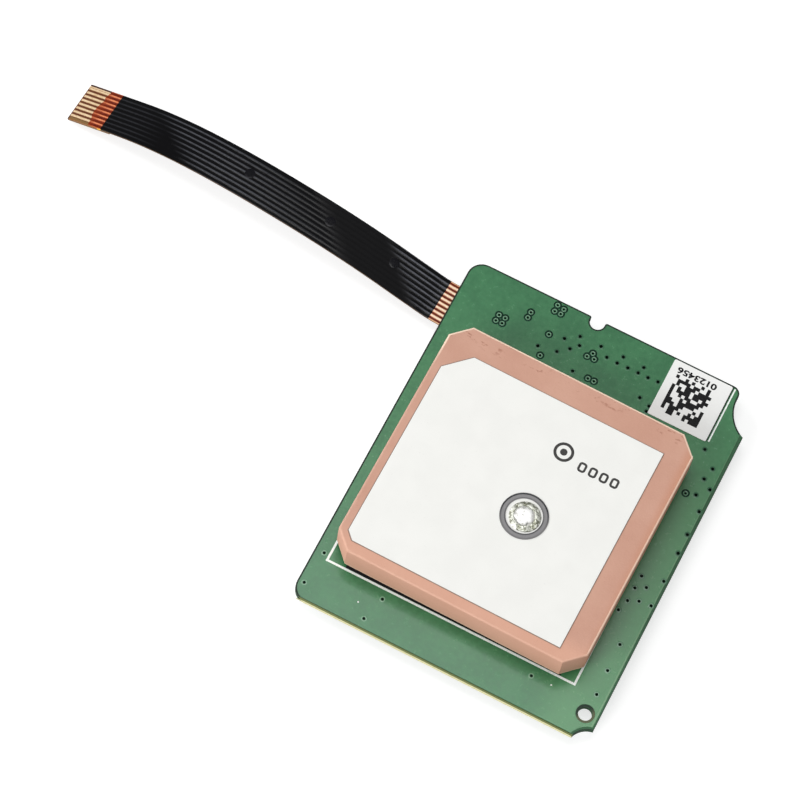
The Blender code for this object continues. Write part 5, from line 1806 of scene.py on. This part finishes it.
# %% [markdown]
# The receiver's parts hide under the shield, but whoever opens the model finds them finished.
# Moulded packages are matt black with a fine sand texture, and their top carries a faint round
# mark left by the mould's ejector pin.

# %% Moulded packages
def moulded(name, node):
    """Black moulding compound, with the ejector's round mark in the middle of the node."""
    low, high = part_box(node)
    centre = (low + high) / 2 / MM
    finish = Finish(name, specular=0.35)
    sand = finish.noise(0.06, 3)
    from_centre = from_point(finish, centre)
    mark_radius = min(high.x - low.x, high.y - low.y) / MM * 0.22
    circle = finish.rise(from_centre, mark_radius, mark_radius * 1.06)
    colour = finish.over(sand, paint(52, 52, 54), paint(36, 36, 38))
    finish.set("Base Color", finish.over(circle, colour, paint(30, 30, 32)))
    finish.set("Roughness", 0.4 + circle * 0.2 + sand * 0.1)
    finish.bump(sand, 0.01)
    return finish


for node in ("receiver_chip", "flash_memory", "low_noise_amplifier", "voltage_regulator"):
    paint_nodes([node], moulded(node + "_moulding", node))
print("moulded packages dressed")

# %% [markdown]
# Ceramic packages are cream with a gold-bright metal lid. Inside the shield the parts hang from
# the board, so the lid is the lower part of each.

# %% Lidded packages
BODY_SHARE = 0.7
for node in ("clock_oscillator", "clock_crystal", "band_filter"):
    low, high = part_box(node)
    lid_line = (high.z - (high.z - low.z) * BODY_SHARE) / MM
    lidded = Finish(node + "_ceramic")
    speck = lidded.noise(0.12, 3)
    lid = 1.0 - lidded.rise(lidded.z, lid_line - 0.01, lid_line + 0.01)
    cream = lidded.over(speck, paint(232, 226, 208), paint(206, 198, 178))
    plate = lidded.over(speck, paint(222, 206, 168), paint(200, 182, 142))
    lidded.set("Base Color", lidded.over(lid, plate, cream))
    lidded.set("Metallic", lid * 0.9)
    lidded.set("Roughness", 0.5 - lid * 0.2 + speck * 0.1)
    lidded.bump(speck, 0.01)
    paint_nodes([node], lidded)
print("lidded packages dressed")

# %% [markdown]
# Chip capacitors, resistors and inductors are the same build: a ceramic body with a tinned cap at
# each end. The caps are painted by how far a point lies from the middle along the longer side.

# %% Chips
BODY_COLOURS = {
    "capacitor": (paint(176, 142, 104), paint(146, 112, 78)),
    "resistor": (paint(38, 38, 42), paint(24, 24, 27)),
    "inductor": (paint(74, 70, 68), paint(52, 49, 48)),
}
CAP_LENGTH = 0.25


def chip_finish(node):
    """A ceramic body in its kind's colour, with a tinned cap at both ends."""
    low, high = (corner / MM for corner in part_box(node))
    middle, size = (low + high) / 2, high - low
    long_axis = 0 if size.x > size.y else 1
    finish = Finish(node + "_finish")
    run = (finish.x, finish.y)[long_axis] - middle[long_axis]
    from_middle = run.math("ABSOLUTE", run)
    cap_edge = size[long_axis] / 2 - CAP_LENGTH
    grain = finish.noise(0.07, 3)
    ragged = from_middle + grain * 0.05
    cap = finish.rise(ragged, cap_edge + 0.015, cap_edge + 0.035)
    light, dark = BODY_COLOURS[node.split("_")[0]]
    body = finish.over(grain, light, dark)
    tinned = finish.over(grain, paint(214, 213, 208), paint(180, 179, 174))
    finish.set("Base Color", finish.over(cap, tinned, body))
    finish.set("Metallic", cap * 0.9)
    finish.set("Roughness", 0.5 - cap * 0.15 + grain * 0.1)
    finish.bump(grain, 0.012)
    return finish


chips = [node for node in NODES if node.split("_")[0] in BODY_COLOURS]
for node in chips:
    paint_nodes([node], chip_finish(node))
print("chips dressed:", len(chips))

# %% [markdown]
# The module lies on a plain white table. The floor adds a little light of its own for what the
# camera sees, directly or in a reflection, so the page looks white while the shadow stays.

# %% Floor
FLOOR_SIZE = 3.0
FLOOR_DROP = 0.004 * MM
FLOOR_GLOW = 0.66

bpy.ops.mesh.primitive_plane_add(size=FLOOR_SIZE, location=(0, 0, -FLOOR_DROP))
floor = name_fresh("floor")
page = Finish("white_page", roughness=0.9, specular=0.0)
fibre = page.noise(30.0, 2)
page.set("Base Color", page.over(fibre, paint(192, 192, 192), paint(190, 190, 190)))
ray = page.node("ShaderNodeLightPath").socket.node
seen = Wire(page, ray.outputs["Is Camera Ray"]) + Wire(page, ray.outputs["Is Glossy Ray"])
seen = seen + Wire(page, ray.outputs["Is Transmission Ray"])
glow = page.node("ShaderNodeEmission", values={"Color": (1, 1, 1, 1), "Strength": FLOOR_GLOW})
dark = page.node("ShaderNodeEmission", values={"Color": (0, 0, 0, 1), "Strength": 0.0})
added = page.node("ShaderNodeMixShader", values=[seen, dark, glow])
shader_out = Wire(page, page.shader.outputs["BSDF"])
both = page.node("ShaderNodeAddShader", values=[shader_out, added])
output = page.tree.nodes["Material Output"]
page.tree.links.new(both.socket, output.inputs["Surface"])
floor.data.materials.append(page.material)
print("floor laid")

# %% [markdown]
# Soft boxes stand in for a studio: a wide one overhead that points straight down, whose reflection
# runs along the cable's ridges and across the lower half of the board, and two low fills in front
# and to the left that keep the sides of the block bright.

# %% Lights
AMBIENT = 0.32
TARGET = Vector((-10, 0, 3)) * MM


def soft_box(name, toward, distance, width, length, power):
    """A rectangular area lamp that looks at the module from a direction."""
    place = TARGET + Vector(toward).normalized() * distance
    bpy.ops.object.light_add(type="AREA", location=place)
    lamp = bpy.context.object
    lamp.name = lamp.data.name = name
    lamp.data.shape = "RECTANGLE"
    lamp.data.size = width
    lamp.data.size_y = length
    lamp.data.energy = power
    lamp.rotation_mode = "QUATERNION"
    lamp.rotation_quaternion = (TARGET - place).to_track_quat("-Z", "Y")
    return lamp


overhead = soft_box("overhead_box", (-0.135, 0.122, 0.983), 0.444, 0.24, 0.2, 0.68)
overhead.rotation_quaternion = (1, 0, 0, 0)
soft_box("front_fill", (-0.45, -0.75, 0.5), 0.9, 0.6, 0.5, 5.4)
soft_box("left_fill", (-0.85, 0.1, 0.5), 0.9, 0.5, 0.5, 2.0)

world = bpy.data.worlds.new("studio")
bpy.context.scene.world = world
world.use_nodes = True
background = world.node_tree.nodes["Background"]
background.inputs["Color"].default_value = (1, 1, 1, 1)
background.inputs["Strength"].default_value = AMBIENT
bpy.context.scene.view_settings.view_transform = "Standard"
print("lamps set")

# %% New pieces
print("new pieces:", len(pieces_made))
